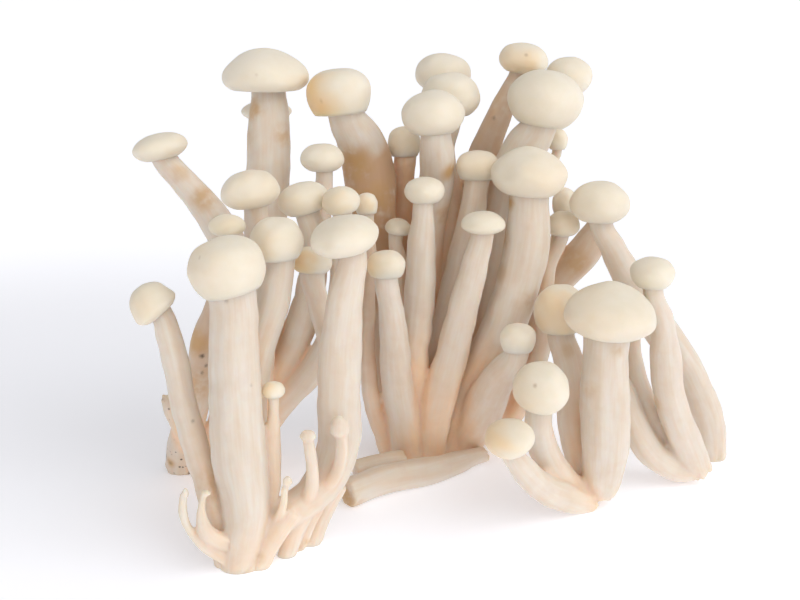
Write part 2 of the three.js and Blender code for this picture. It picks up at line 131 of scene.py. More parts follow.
# Picked by eye, then worked out in mm, thinned, rounded and printed by a separate program.
CLUMPS: dict[str, tuple[Mushroom, ...]] = {
    "front_left": (
        # the thick one that stands in front
        Mushroom(cap=(-33.5, -50, 60, 15, 6, 5), lean=(-13, 0), fullness=0.98, tan_and_shade=TanAndShade.FAINT,
            tan_and_shade_side=200, stem=((-32.5, -50, 53.5, 4.5), (-32.5, -51, 44.5, 5), (-31.5, -55, 22, 5.3),
            (-30.5, -56, 12, 4.6), (-32.5, -57, -1, 3.4))),
        # behind its right shoulder
        Mushroom(cap=(-25, -38, 62.5, 11, 5, 3.5), lean=(-3, 0), fullness=0.95, tan_and_shade=TanAndShade.FAINT,
            tan_and_shade_side=190, stem=((-24, -38, 59, 3.2), (-25.5, -39, 52.5, 3.5), (-30, -42, 37.5, 3.7),
            (-31, -46, 25, 3.7), (-31.5, -51, 11.5, 3.4), (-32.5, -55, 0, 3))),
        # slim, its stem swept to the left
        Mushroom(cap=(-18.5, -30, 56.5, 8.5, 3, 2), lean=(5, 0), tan_and_shade=TanAndShade.TAN, tan_and_shade_side=215,
            stem=((-18.5, -30, 54.5, 2.5), (-17.5, -31, 48.5, 2.3), (-14, -34, 36, 2.5),
            (-13.5, -37, 28, 2.7), (-15, -43, 18, 2.7), (-21.5, -50, 9.5, 2.4), (-31.5, -55, -0.5, 2))),
        # broad cap, its foot bent over into the side arm
        Mushroom(cap=(-11, -42, 64, 14, 4.5, 3), lean=(-11, 0), fullness=0.95,
            stem=((-9.5, -42, 60.5, 2.8), (-11, -43, 51.5, 3.6), (-12.5, -45, 31, 4.3),
            (-12.5, -46, 22.5, 4.3), (-14, -48, 17, 3.9), (-28.5, -55, 5, 3.2), (-32, -57, -0.5, 3.4))),
        # leans out to the left
        Mushroom(cap=(-48.5, -45, 50.5, 9.5, 5.5, 1.5), lean=(-40, 0), tan_and_shade=TanAndShade.FAINT,
            tan_and_shade_side=210, stem=((-48, -45, 49.5, 2.2), (-46, -46, 45, 2.5), (-43.5, -48, 32, 2.6),
            (-38, -54, 15, 2.6), (-34.5, -56, -0.5, 2.5))),
        # short button before the thick stem
        Mushroom(cap=(-25, -51, 35, 4.5, 2, 1), tan_and_shade=TanAndShade.WARM, stem=((-25, -51, 33.5, 1.1),
            (-25.5, -51, 24.5, 1.7), (-25.5, -52, 16.5, 1.8), (-30, -56, 1, 1.8))),
        # pinhead on the middle of the arm
        Mushroom(cap=(-18, -55, 27, 3.5, 1.5, 0.5), pin=True, stem=((-18, -55, 26.5, 1.1),
            (-17.5, -55, 22, 1.3), (-17.5, -54, 16.5, 1.4), (-19, -52, 11, 1.4))),
        # pinhead on the right end of the arm
        Mushroom(cap=(-12, -53, 27.5, 4, 3, 0.5), pin=True, stem=((-11.5, -53, 26.5, 1.2),
            (-11.5, -53, 22.5, 1.3), (-13, -52, 17.5, 1.4), (-17, -50, 13, 1.4))),
        # pinhead on the left of the arm
        Mushroom(cap=(-22, -58, 18.5, 2, 1.5, 0), pin=True, stem=((-22.5, -58, 17.5, 0.8),
            (-23, -57, 13.5, 0.9), (-25, -55, 8, 1))),
        # curled pinhead at the foot
        Mushroom(cap=(-37.5, -61, 17.5, 2.5, 1, 0.5), pin=True, stem=((-38, -61, 17, 0.8),
            (-38.5, -61, 14, 0.9), (-38, -61, 10, 1.6), (-33.5, -58, 5, 1.6))),
        # outermost curled pinhead
        Mushroom(cap=(-41.5, -61, 17.5, 1.5, 1.5, 0), pin=True, stem=((-42, -61, 17.5, 0.7),
            (-42, -61, 12.5, 0.8), (-37.5, -60, 5, 1.2), (-34, -58, 2, 1.4))),
        # capless finger under the arm, from right to left
        Mushroom(stem=((-14.5, -48, 14.5, 2), (-17.5, -49, 9, 1.8), (-21.5, -49, -0.5, 1.4))),
        Mushroom(stem=((-13, -46, 13, 2.1), (-15.5, -46, 7.5, 1.9), (-19, -47, -2, 1.5))),
        Mushroom(stem=((-18, -51, 13, 2.2), (-20.5, -51.5, 7.5, 2), (-24, -52, -2.5, 1.8))),
        Mushroom(stem=((-21.5, -54, 10.5, 2), (-25, -56, 6, 2), (-29, -57, -1.5, 2))),
    ),
    "back_left": (
        # the tall one with the widest cap
        Mushroom(cap=(-31, 6, 91.5, 20, 7, 2.5), margin=0.8, umbo=0.06, fullness=1.2,
            stem=((-30.5, 6, 89, 4.2), (-30.5, 5, 82, 4.9), (-31.5, 0, 57, 5.1), (-32.5, -3, 41, 4.9),
            (-35.5, -6, 24.5, 4.7), (-39, -8, 10, 4.3), (-42, -9, -0.5, 3.8))),
        # half hidden behind it
        Mushroom(cap=(-32.5, 19, 82.5, 12.5, 2.5, 2), stem=((-32.5, 19, 80, 2.4), (-34, 15, 61.5, 2.7),
            (-36.5, 8, 38, 2.9), (-39.5, 2, 19.5, 2.9), (-43, -7, -0.5, 2.4))),
        # its neck hooked out to the left
        Mushroom(cap=(-53.5, -8, 77.5, 12.5, 3, 2.5), lean=(-12, 0), stem=((-51, -8, 75.5, 2.8),
            (-50.5, -8, 72, 2.9), (-42, -10, 62, 3.9), (-38.5, -11, 55.5, 4.2), (-37, -11, 38, 4.4),
            (-40, -10, 18.5, 4), (-46, -8, 0, 4.1))),
        # slim, swept to the left
        Mushroom(cap=(-17.5, -6, 74.5, 10, 3.5, 2.5), stem=((-17, -6, 72, 2), (-17.5, -6, 65, 2.3),
            (-22, -8, 42, 2.8), (-27.5, -9, 28, 2.8), (-33.5, -10, 13.5, 2.8), (-38, -10, 0, 2.6))),
        # in front of the tall stem
        Mushroom(cap=(-31.5, -26, 70.5, 12.5, 4.5, 3), lean=(-7, 0), tan_and_shade=TanAndShade.FAINT, tan_and_shade_side=300,
            stem=((-30.5, -26, 67, 2.5), (-30.5, -25, 62, 2.8), (-30.5, -20, 38.5, 3.1),
            (-32.5, -17, 23.5, 3.2), (-40.5, -12, -0.5, 3.1))),
        # beside it, bowed
        Mushroom(cap=(-21, -20, 68, 11, 3.5, 3), lean=(-14, 0), tan_and_shade=TanAndShade.FAINT, tan_and_shade_side=190,
            stem=((-19.5, -20, 64, 2.8), (-18.5, -20, 60, 2.8), (-19.5, -17, 49, 3.1),
            (-22.5, -15, 37, 3.4), (-28, -13, 24.5, 3.5), (-33.5, -12, 11.5, 3.5),
            (-38, -11, -0.5, 3.3))),
        # the lowest bow of the three
        Mushroom(cap=(-12.5, -25, 68, 8, 3.5, 2), lean=(-8, 0), tan_and_shade=TanAndShade.FAINT, tan_and_shade_side=220,
            stem=((-12.5, -25, 65.5, 2.1), (-12.5, -23, 57.5, 2.4), (-13.5, -21, 45.5, 2.6),
            (-16.5, -19, 34.5, 2.9), (-21.5, -17, 26, 2.9), (-27.5, -15, 19, 3), (-33, -13, 10, 3),
            (-37, -12, -0.5, 3.1))),
        # flat button, foot spread to the left
        Mushroom(cap=(-35.5, -33, 64.5, 7.5, 2.5, 1.5), tan_and_shade=TanAndShade.FAINT, tan_and_shade_side=250, stain=0.5,
            stem=((-36, -33, 63, 1.9), (-37, -30, 54.5, 2.3), (-39, -27, 46, 2.8),
            (-42.5, -24, 37.5, 3.2), (-45, -20, 25.5, 3.3), (-51.5, -9, 5.5, 4), (-52, -7, 0.5, 4.3))),
        # capless nub on the left of the foot
        Mushroom(stem=((-48.5, -14, 10, 2.8), (-50.5, -15, 14, 2.4), (-52.5, -16, 19.5, 2.2),
            (-53.5, -16, 21.5, 1.4))),
    ),
    "back_middle": (
        # thick, its neck bent to the right
        Mushroom(cap=(-14, 1.5, 89, 15, 5, 5), lean=(-5, 0), margin=0.8, tan_and_shade=TanAndShade.TAN,
            tan_and_shade_side=195, fullness=0.8, stain=0.9, stain_from=11, stem=((-12, 2, 84, 4),
            (-10.5, 4, 79.5, 5), (-9, 6, 76, 5.6), (-6.5, 6, 57, 5.5), (-6, 9, 37.5, 4.9),
            (-4, 12, 18.5, 4.5), (-1, 14, -1, 4.1))),
        # the rearmost
        Mushroom(cap=(10.5, 25, 91, 14, 5, 3.5), stem=((10, 25, 87.5, 3.5), (10, 25, 77, 3.7),
            (9.5, 24, 59.5, 3.8), (7.5, 21, 39.5, 3.8), (5, 18, 19, 3.8), (3, 16, -1, 3.6))),
        # before it
        Mushroom(cap=(12, 11, 86.5, 14, 6, 4), stem=((11, 11, 82, 3.1), (10, 12, 75, 3.2),
            (11, 13, 61.5, 4.3), (8, 14, 36, 3.9), (7, 14, 20.5, 3.8), (5, 14, -0.5, 3.6))),
        # the foremost of the three tall ones
        Mushroom(cap=(7.5, -3, 84, 14.5, 5.5, 4), lean=(-4, 0), stem=((8.5, -3, 79.5, 3.4),
            (8.5, -1, 75.5, 3.8), (8.5, 3, 68, 3.9), (7, 6, 55.5, 3.8), (6, 9, 37.5, 3.9),
            (4.5, 11, 19, 3.8), (2.5, 12, -0.5, 3.6))),
        # small, to their left
        Mushroom(cap=(1, 10, 76, 8, 4, 3), tan_and_shade=TanAndShade.FAINT, tan_and_shade_side=250, stain=0.45,
            stem=((1.5, 10, 72.5, 2.4), (1, 11, 67, 2.6), (0, 13, 46.5, 3.2), (0, 13, 28.5, 3.3),
            (1, 13, -0.5, 3.1))),
        # long, leaning to the right
        Mushroom(cap=(29.5, 16, 95, 12, 4, 3), lean=(8, 0), tan_and_shade=TanAndShade.WARM, tan_and_shade_side=230,
            stain=0.45, stem=((28, 16, 92, 2.4), (26.5, 16, 87.5, 2.6), (20.5, 16, 73.5, 3.6),
            (15, 16, 48.5, 4), (12, 15, 28, 3.8), (9.5, 14, 10, 3.6), (7.5, 14, -0.5, 3.6))),
    ),
    "middle": (
        # thin button on the left
        Mushroom(cap=(-7.5, -10, 65, 5, 2.5, 2), tan_and_shade=TanAndShade.WARM, tan_and_shade_side=235, stain=0.3,
            stem=((-7.5, -10, 62.5, 1.6), (-7, -10, 54.5, 1.7), (-7.5, -10, 33, 1.8), (-7, -8, 20, 2),
            (-2.5, -1, 0, 2.2))),
        # straight, in the middle
        Mushroom(cap=(5.5, -10, 68, 9, 3, 2.5), stem=((5, -10, 65, 2.2), (5, -10, 58, 3),
            (4.5, -8, 42, 3.5), (3.5, -7, 30, 3.3), (3.5, -4, 16.5, 3.1), (3.5, -1, 0, 2.7))),
        # right of it, leaning
        Mushroom(cap=(18, 1, 72, 10, 3.5, 3), tan_and_shade=TanAndShade.FAINT, tan_and_shade_side=270, stem=((17, 1, 68.5, 3),
            (17, 1, 61.5, 3.3), (13, 2, 41.5, 3.8), (10, 2, 28, 3.9), (8, 3, 14, 3.7),
            (6.5, 3, -0.5, 3.5))),
        # flat cap, leaning forward
        Mushroom(cap=(18.5, -14, 61, 10, 3, 1.5), stem=((18, -14, 59, 2.4), (17, -14, 53, 2.8),
            (12, -10, 29.5, 3.7), (8, -5, 9, 3.6), (7.5, -3, 1, 3.2))),
        # the thickest of the clump
        Mushroom(cap=(29, -8, 71, 17, 6.5, 4), lean=(3, 0), tan_and_shade=TanAndShade.FAINT, tan_and_shade_side=350,
            fullness=1, umbo=0.05, waves=1.4, stem=((29, -8, 66.5, 4.5), (29, -8, 58.5, 5),
            (25, -7, 38.5, 5.2), (16.5, -0.5, 15, 5.1), (13, 2.5, 1, 4.6))),
        # short, leaning out of its foot
        Mushroom(cap=(26, -22, 37.5, 8, 3, 3), tan_and_shade=TanAndShade.WARM, tan_and_shade_side=90, stain=0.2, stain_from=4,
            stem=((25.5, -22, 34.5, 2.4), (23.5, -18, 28.5, 3.4), (18, -1.5, 9.5, 5),
            (15, 2.5, 2.5, 4.7), (13, 4, -1.5, 4))),
        # small tilted button
        Mushroom(cap=(-0.5, -4, 58, 6, 2.5, 1), lean=(9, 0), tan_and_shade=TanAndShade.FAINT, tan_and_shade_side=200,
            stem=((-1, -4, 57, 1.7), (-0.5, -4, 50.5, 1.9), (1, -3, 28.5, 2.4), (3, -2, 15.5, 2.4),
            (4, -1, 1, 2.5))),
        # leaning forward
        Mushroom(cap=(-3, -20, 53.5, 8.5, 3, 2.5), tan_and_shade=TanAndShade.WARM, tan_and_shade_side=190,
            stem=((-3, -20, 50, 2.6), (-2, -18, 42.5, 3), (-0.5, -10, 21, 3.9), (1, -5, 10.5, 4.2),
            (2, -2, 0.5, 4.4))),
    ),
    "front_right": (
        # broad cap on a tapered stem
        Mushroom(cap=(44.5, -30, 44.5, 19.5, 7.5, 4), lean=(4, 0), tan_and_shade=TanAndShade.FAINT, tan_and_shade_side=200,
            fullness=1.05, umbo=0.12, waves=2, stem=((44, -30, 39.5, 5), (44, -30, 32.5, 5.3),
            (45, -29, 11.5, 5.1), (45, -28, 6.5, 4.4), (45, -27, 2.5, 3.1))),
        # close behind its left
        Mushroom(cap=(36, -15, 41.5, 12, 6, 4.5), tan_and_shade=TanAndShade.WARM, tan_and_shade_side=250,
            stem=((37.5, -15, 36.5, 3.2), (38, -17, 30.5, 3.4), (39.5, -22, 13, 3.4),
            (42.5, -26, 2.5, 2.8))),
        # cap turned up to the light
        Mushroom(cap=(29.5, -38, 31, 12, 5.5, 3.5), lean=(0, -30), tan_and_shade=TanAndShade.FAINT, tan_and_shade_side=180,
            stem=((29.5, -36, 26, 2.8), (29.5, -35, 20.5, 3.1), (32, -33, 13.5, 3.1),
            (41.5, -28, 1.5, 2.7))),
        # lowest cap, its stem lying out
        Mushroom(cap=(22.5, -44, 22.5, 10.5, 3, 3), lean=(-5, -15), tan_and_shade=TanAndShade.WARM, tan_and_shade_side=190,
            stem=((23.5, -43, 19.5, 2.3), (26.5, -41, 13.5, 2.8), (31, -37, 8, 3.1), (37, -33, 4, 3.2),
            (42.5, -29, 1, 2.4))),
    ),
    "right": (
        # outermost
        Mushroom(cap=(54.5, -24, 52.5, 9.5, 3.5, 3), stem=((56.5, -24, 49.5, 2.3),
            (57.5, -23, 41.5, 2.7), (58.5, -22, 34.5, 3.4), (60.5, -20, 23.5, 3.6), (67.5, -16, 7, 3.8),
            (69.5, -15, 2.5, 3.3))),
        # behind the broad cap
        Mushroom(cap=(53, -11, 37, 8.5, 5, 1), stem=((52, -11, 35, 2.3), (53.5, -12, 27.5, 2.7),
            (59.5, -13, 12, 3.3), (66.5, -13, 1.5, 3.3))),
        # hooked stem that lies along the foot
        Mushroom(cap=(47.5, -17, 32, 7, 3.5, 0.5), stem=((48, -17, 31, 2), (50, -17, 24.5, 2.7),
            (60, -17, 6.5, 3.5), (64.5, -16, 4, 3.5), (69.5, -15, 4, 3))),
    ),
    "back_right": (
        # the tallest cap of the clump
        Mushroom(cap=(33.5, 4, 87, 17.5, 6.5, 6), lean=(9, 0), stem=((32, 4, 80.5, 4.2),
            (29.5, 5, 76, 4.9), (25, 9, 60, 5), (24, 11, 47, 4.9), (22, 12, 29, 4.7), (19, 12, 13, 4.6),
            (17, 12, -0.5, 4.1))),
        # behind its right
        Mushroom(cap=(41, 21, 90.5, 11.5, 5, 3.5), stem=((40, 21, 86.5, 2.7), (37, 20, 80, 2.9),
            (33, 19, 73, 3.2), (30.5, 19, 60.5, 3.5), (28, 18, 45.5, 3.5), (25.5, 17, 27.5, 3.6),
            (23, 16, 12, 3.6), (21, 15, -1, 3.4))),
        # thin button
        Mushroom(cap=(38, 14, 76, 5, 3, 2), stem=((37.5, 14, 74, 1.2), (35, 14, 68.5, 1.5),
            (32.5, 14, 54, 1.8), (30, 14, 39, 2.1), (25.5, 14, 18, 2.3), (22, 14, -0.5, 2.6))),
        # second button
        Mushroom(cap=(39.5, 9, 61.5, 6, 4, 2.5), stem=((39, 9, 59, 1.7), (37.5, 8, 50.5, 1.9),
            (35.5, 9, 35, 2.2), (30, 10, 16.5, 2.5), (25, 11, 0, 2.5))),
        # third button
        Mushroom(cap=(38, -0.5, 58, 8, 3.5, 2), tan_and_shade=TanAndShade.FAINT, tan_and_shade_side=250,
            stem=((37, 0, 55, 1.6), (35, 0, 48.5, 1.9), (34.5, 0, 40, 2.1), (34, 2, 27, 2.3),
            (30, 6, 12.5, 2.5), (25, 10, 0, 2.5))),
        # leans far to the right
        Mushroom(cap=(49, 9, 60, 9, 4.5, 1), stain=0.35, stem=((48, 9, 59, 2.8), (46, 9, 52, 3.9),
            (35.5, 9, 39.5, 4), (27, 9, 15.5, 3.8), (23, 10, 0, 3.6))),
    ),
    "far_right": (
        # arched over to the right
        Mushroom(cap=(45.5, -6, 64, 13.5, 5.5, 3.5), stem=((46, -6, 60.5, 2.7), (49, -6, 54, 3.1),
            (57, -4, 40, 4), (69, -2, 23, 4), (75.5, 0, 8.5, 3.9), (77, 0, -0.5, 3.4))),
    ),
    "lying_long": (
        # the longer cut stem, thinner towards its root
        Mushroom(stem=((-12, -28, 3, 3.6), (-3, -21, 3.5, 3.4), (6.5, -15.5, 3, 3.3),
            (20.5, -4, 2.5, 1.9))),
    ),
    "lying_short": (
        # the shorter one behind it
        Mushroom(stem=((-10.5, -15, 2.5, 2.8), (-4.5, -12.5, 3, 2.8), (1, -10, 3, 2.6))),
    ),
}


class Mark(Enum):
    """What a mark on the flesh is."""

    # bruises, and at some spots painted shade
    BRUISE = "bruise"
    DIRT = "dirt"
    SPECK = "speck"


@dataclass(frozen=True)
class Spot:
    """A mark on the flesh or skin.

    Args:
        kind: What it is.
        at: Its middle.
        reach: How far it spreads.
        strength: How plain it is in the middle, up to 1.
    """

    kind: Mark
    at: Array
    reach: float
    strength: float


# x, y, z, reach and strength of each mark, in the table's coordinates. The places were picked
# by eye, then worked out by a separate program, most depths from the part's own surface.
SPOTS: dict[Mark, tuple[tuple[float, ...], ...]] = {
    Mark.BRUISE: (
        # down the left of the tallest stem
        (-33.5, 2, 84.5, 3, 0.8), (-35, 2.5, 77.5, 3.4, 0.6), (-35.5, 3, 68.5, 3.6, 0.55),
        (-27, 1.5, 79, 3, 0.6),
        # the bent neck
        (-11, 1.5, 72, 5, 0.95), (-5.5, 1.5, 64, 5, 0.8), (-11.5, 0.5, 63, 5, 0.6),
        # the stem that leans out at the back left
        (-43.5, -12, 66.5, 3.2, 0.8), (-49, -10.5, 72, 2.4, 0.45), (-38, -15, 58, 3, 0.4),
        # the thick stem in the middle
        (25, -9, 65, 2, 1), (24, -8.5, 57, 2.6, 0.7), (23, -9.5, 49, 2.6, 0.5),
        (29, -11, 43, 3.4, 0.35),
        # behind the middle caps
        (11.5, -1.5, 71, 2.6, 1), (10.5, 2.5, 60, 3, 0.6),
        # the long one that leans to the right, and the one that leans further
        (19, 10, 86, 6.5, 0.7), (42, 5.5, 48, 4, 0.7),
        # the strip behind the thick stem in front, and painted shade in the crease at that stem's foot
        (-44, -26.5, 38, 4, 0.9), (-44, -24, 27, 5, 0.7), (-36.5, -55.5, 16, 4.5, 0.6),
        # the right front pair; the last spot here is painted shade along the edge of a shaded side
        (40.5, -33.5, 29.5, 2.4, 0.35), (45.5, -34.5, 38, 1.6, 0.5), (37.5, -19.5, 33.5, 1.8, 0.35),
        # torn ends of the lying stems
        (-12.5, -27.5, 2, 4.5, 1), (-9, -18, 2, 4, 0.4),
        # cut ends of the side arm
        (-23, -60, 4, 1.6, 0.8), (-19.5, -50, 1.5, 1.6, 0.8), (-28, -58.5, 2.5, 1.6, 0.5),
        # the outermost stem at the right, and the foot at the far left
        (57.5, -20.5, 22, 2.6, 0.45), (-54, -11.5, 3.5, 1.5, 0.9),
    ),
    Mark.DIRT: (
        # the foot at the far left
        (-51, -15, 4, 6, 1), (-52.5, -17, 19, 3, 0.6),
    ),
    Mark.SPECK: (
        # on stems and feet
        (-43, -26.5, 34.5, 0.6, 0.9), (-42.5, -25, 32, 0.5, 0.8), (-43.5, -25, 30, 0.5, 0.8),
        (-28.5, -56, 38, 0.45, 0.4), (-41, -51.5, 29, 0.45, 0.5), (-54, -16.5, 21, 0.5, 0.9),
        (-54, -11.5, 3.5, 0.6, 0.6), (-51.5, -12, 7, 0.7, 0.9), (-52, -12, 9, 0.6, 0.8),
        (-50, -10.5, 0.5, 0.7, 1), (-55.5, -10, 4.5, 0.7, 0.8), (-37, -50, 52.5, 0.45, 0.5),
        (-35.5, -53, 53.5, 0.45, 0.45), (-33.5, -54, 54, 0.4, 0.4), (-33, -54.5, 54.5, 0.45, 0.5),
        (22.5, 13.5, 81.5, 0.55, 0.7),
        # on caps
        (27.5, -43, 33.5, 0.6, 0.6), (35.5, 6, 75.5, 0.8, 0.9), (29.5, 10.5, 96.5, 0.5, 0.35),
        (-32, -3.5, 93, 0.45, 0.2), (-17.5, -4.5, 87.5, 0.5, 0.3), (-12.5, -5, 86, 0.45, 0.3),
        (-38, -54.5, 63, 0.45, 0.3),
    ),
}


SPOT_EDGE = 1.3  # reaches from a mark's middle to where it ends


def strength_of(spots: tuple[Spot, ...], kind: Mark, places: Array) -> Array:
    """Strength of one kind of mark at places.

    Args:
        spots: The marks, in the coordinates of the places.
        kind: The kind.
        places: One place a row.

    Returns:
        0 to 1 for each place.
    """
    strength = np.zeros(len(places))
    for spot in spots:
        if spot.kind is kind:
            away = np.linalg.norm(places - spot.at, axis=1)
            strength = np.maximum(strength, spot.strength * ease(SPOT_EDGE - away / spot.reach))
    return strength


# How strongly the flesh of each clump turns warm tan where its stems press together,
# and how much painted warm bounce light it gets deep in the bunch.
WARMTH: dict[str, float] = {
    "front_left": 0.35, "back_left": 1.0, "back_middle": 1.0, "middle": 0.9, "front_right": 0.6,
    "right": 0.2, "back_right": 1.0, "far_right": 0.3, "lying_long": 0.05, "lying_short": 0.15,
}


def srgb(red: int, green: int, blue: int) -> Paint:
    """Turn a screen colour into the linear one that shaders take.

    Args:
        red: 0 to 255.
        green: 0 to 255.
        blue: 0 to 255.

    Returns:
        Linear red, green and blue, and full alpha.
    """
    def linear(value: int) -> float:
        """One channel, linear."""
        share = value / 255
        return share / 12.92 if share <= 0.04045 else ((share + 0.055) / 1.055) ** 2.4

    return linear(red), linear(green), linear(blue), 1.0


def ease(values: Array) -> Array:
    """Smooth steps from 0 to 1 of values that may lie outside that range."""
    inside = np.clip(values, 0, 1)
    return inside * inside * (3 - 2 * inside)


def smooth_line(points: Array, spacing: float) -> Array:
    """Draw a smooth line through points.

    Args:
        points: One point a row; the first three columns are its place.
        spacing: Greatest distance between samples.

    Returns:
        Evenly spaced samples with the same columns.
    """
    steps = np.linalg.norm(np.diff(points[:, :3], axis=0), axis=1)
    knots = np.concatenate([[0.0], np.cumsum(steps)])
    slopes = np.gradient(points, knots, axis=0)
    wanted = np.linspace(0, knots[-1], max(3, math.ceil(knots[-1] / spacing) + 1))
    left = np.clip(np.searchsorted(knots, wanted, side="right") - 1, 0, len(steps) - 1)
    step = steps[left][:, None]
    part = (wanted - knots[left])[:, None] / step
    rest = 1 - part
    return (
        points[left] * (1 + 2 * part) * rest**2
        + slopes[left] * step * part * rest**2
        + points[left + 1] * (3 - 2 * part) * part**2
        - slopes[left + 1] * step * rest * part**2
    )


@dataclass(frozen=True)
class Ripples:
    """Smooth seeded unevenness: a sum of waves that run every way.

    Args:
        seed: Start of the random draws.
        length: Mean distance from crest to crest.
        waves: How many waves are summed.
        spread: Shortest and longest wave, against the mean.
    """

    seed: int
    length: float
    waves: int = 16
    spread: tuple[float, float] = (0.6, 1.5)

    def at(self, places: Array) -> Array:
        """Heights of about -1 to 1 at places.

        Args:
            places: One place a row.

        Returns:
            One height for each place.
        """
        draw = np.random.default_rng(self.seed)
        ways = draw.normal(size=(3, self.waves))
        ways /= np.linalg.norm(ways, axis=0)
        lengths = self.length * draw.uniform(*self.spread, self.waves)
        phases = draw.uniform(0, 2 * math.pi, self.waves)
        waves = np.sin(places @ (ways * 2 * math.pi / lengths) + phases)
        return waves.sum(axis=1) / math.sqrt(self.waves / 2)


@dataclass(frozen=True)
class Route:
    """The middle line of a stem, with a cross frame at each sample.

    Args:
        centres: Places of the samples.
        radii: Radius at each.
        along: Way at each, from the cap to the foot.
        across: First cross direction at each.
        beside: Second cross direction at each.
        travelled: Distance of each from the top.
        left: Distance of each from the foot.
    """

    centres: Array
    radii: Array
    along: Array
    across: Array
    beside: Array
    travelled: Array
    left: Array

    @classmethod
    def joined(cls, routes: list["Route"]) -> "Route":
        """The samples of several routes, one route after another."""
        return cls(*(
            np.concatenate([getattr(route, part.name) for route in routes]) for part in fields(cls)
        ))

    @classmethod
    def through(cls, points: Array, spacing: float) -> "Route":
        """Make a route through the given points.

        Args:
            points: x, y, z and radius, from the cap to the foot.
            spacing: Greatest distance between samples.

        Returns:
            The route.
        """
        line = smooth_line(points, spacing)
        centres = line[:, :3]
        along = np.gradient(centres, axis=0)
        along /= np.linalg.norm(along, axis=1)[:, None]
        across = np.zeros_like(centres)
        last = np.array([1.0, 0.0, 0.0])
        for row, way in enumerate(along):
            last = last - way * last.dot(way)
            last = last / np.linalg.norm(last)
            across[row] = last
        gone = np.linalg.norm(np.diff(centres, axis=0), axis=1)
        travelled = np.concatenate([[0.0], np.cumsum(gone)])
        return cls(
            centres=centres,
            radii=line[:, 3],
            along=along,
            across=across,
            beside=np.cross(across, along),
            travelled=travelled,
            left=travelled[-1] - travelled,
        )


@dataclass(frozen=True)
class Opening:
    """How a cap opens round its stem.

    Args:
        inset: Room kept inside the margin, as a share of the cap's radius.
        rise: Height of the seat over the margin, as a share of the cap's radius.
        clearance: Room round the stem, in mm.
    """

    inset: float
    rise: float
    clearance: float


GILLED = Opening(inset=0.04, rise=0.26, clearance=0.5)
BUTTON = Opening(inset=0.0, rise=0.12, clearance=0.4)
GILLED_FROM = 7.5  # mm of breadth; a smaller button is closed on its stem
BEYOND_SEAT = 0.08  # the margin's least reach past the opening, as a share of the cap's radius


@dataclass
class Seat:
    """Where a cap sits on its stem, worked out as the frame does.

    Args:
        mushroom: The mushroom.
        shift: From the table's coordinates to the frame's.
    """

    mushroom: Mushroom
    shift: Array
    centre: Array = field(init=False)
    turn: Array = field(init=False)
    radius: float = field(init=False)
    height: float = field(init=False)
    depth: float = field(init=False)
    lowest: float = field(init=False)
    gilled: bool = field(init=False)
    hub: Array = field(init=False)
    hub_radius: float = field(init=False)

    def __post_init__(self) -> None:
        """Work out the seat from the mushroom."""
        x, y, z, breadth, self.height, self.depth = self.mushroom.cap
        to_right, to_back = self.mushroom.lean
        self.centre = np.array([x, y, z]) + self.shift
        lean = Euler((-math.radians(to_back), math.radians(to_right), 0.0), "ZYX")
        self.turn = np.array(lean.to_matrix())
        self.radius = breadth / 2
        self.gilled = breadth >= GILLED_FROM
        opening = GILLED if self.gilled else BUTTON
        top = np.array(self.mushroom.stem[0])
        foot = (top[:3] + self.shift - self.centre) @ self.turn
        self.hub_radius = float(top[3]) + opening.clearance
        self.lowest = max(self.mushroom.margin, self.hub_radius / self.radius + BEYOND_SEAT)
        room = (self.lowest - opening.inset) * self.radius - self.hub_radius
        away = math.hypot(foot[0], foot[1])
        pull = min(1.0, room / away) if away > 0 else 0.0
        seat_height = opening.rise * self.radius - self.depth
        self.hub = np.array([foot[0] * pull, foot[1] * pull, seat_height])

    def place(self, points: Array) -> Array:
        """Move points from the cap's own coordinates to the frame's."""
        return points @ self.turn.T + self.centre


def rows_of(items: bpy.types.bpy_prop_collection, key: str) -> Array:
    """One vector of each item, one a row, such as the place of each vertex."""
    flat = np.empty(len(items) * 3)
    items.foreach_get(key, flat)
    return flat.reshape(-1, 3)


def mesh_of(body: Body, name: str) -> Mesh:
    """Turn a body into a named mesh, and free the body."""
    mesh = bpy.data.meshes.new(name)
    body.to_mesh(mesh)
    body.free()
    return mesh


def in_scene(name: str, data: bpy.types.ID) -> bpy.types.Object:
    """Put new data in the scene as an object of that name."""
    made = bpy.data.objects.new(name, data)
    bpy.context.scene.collection.objects.link(made)
    return made


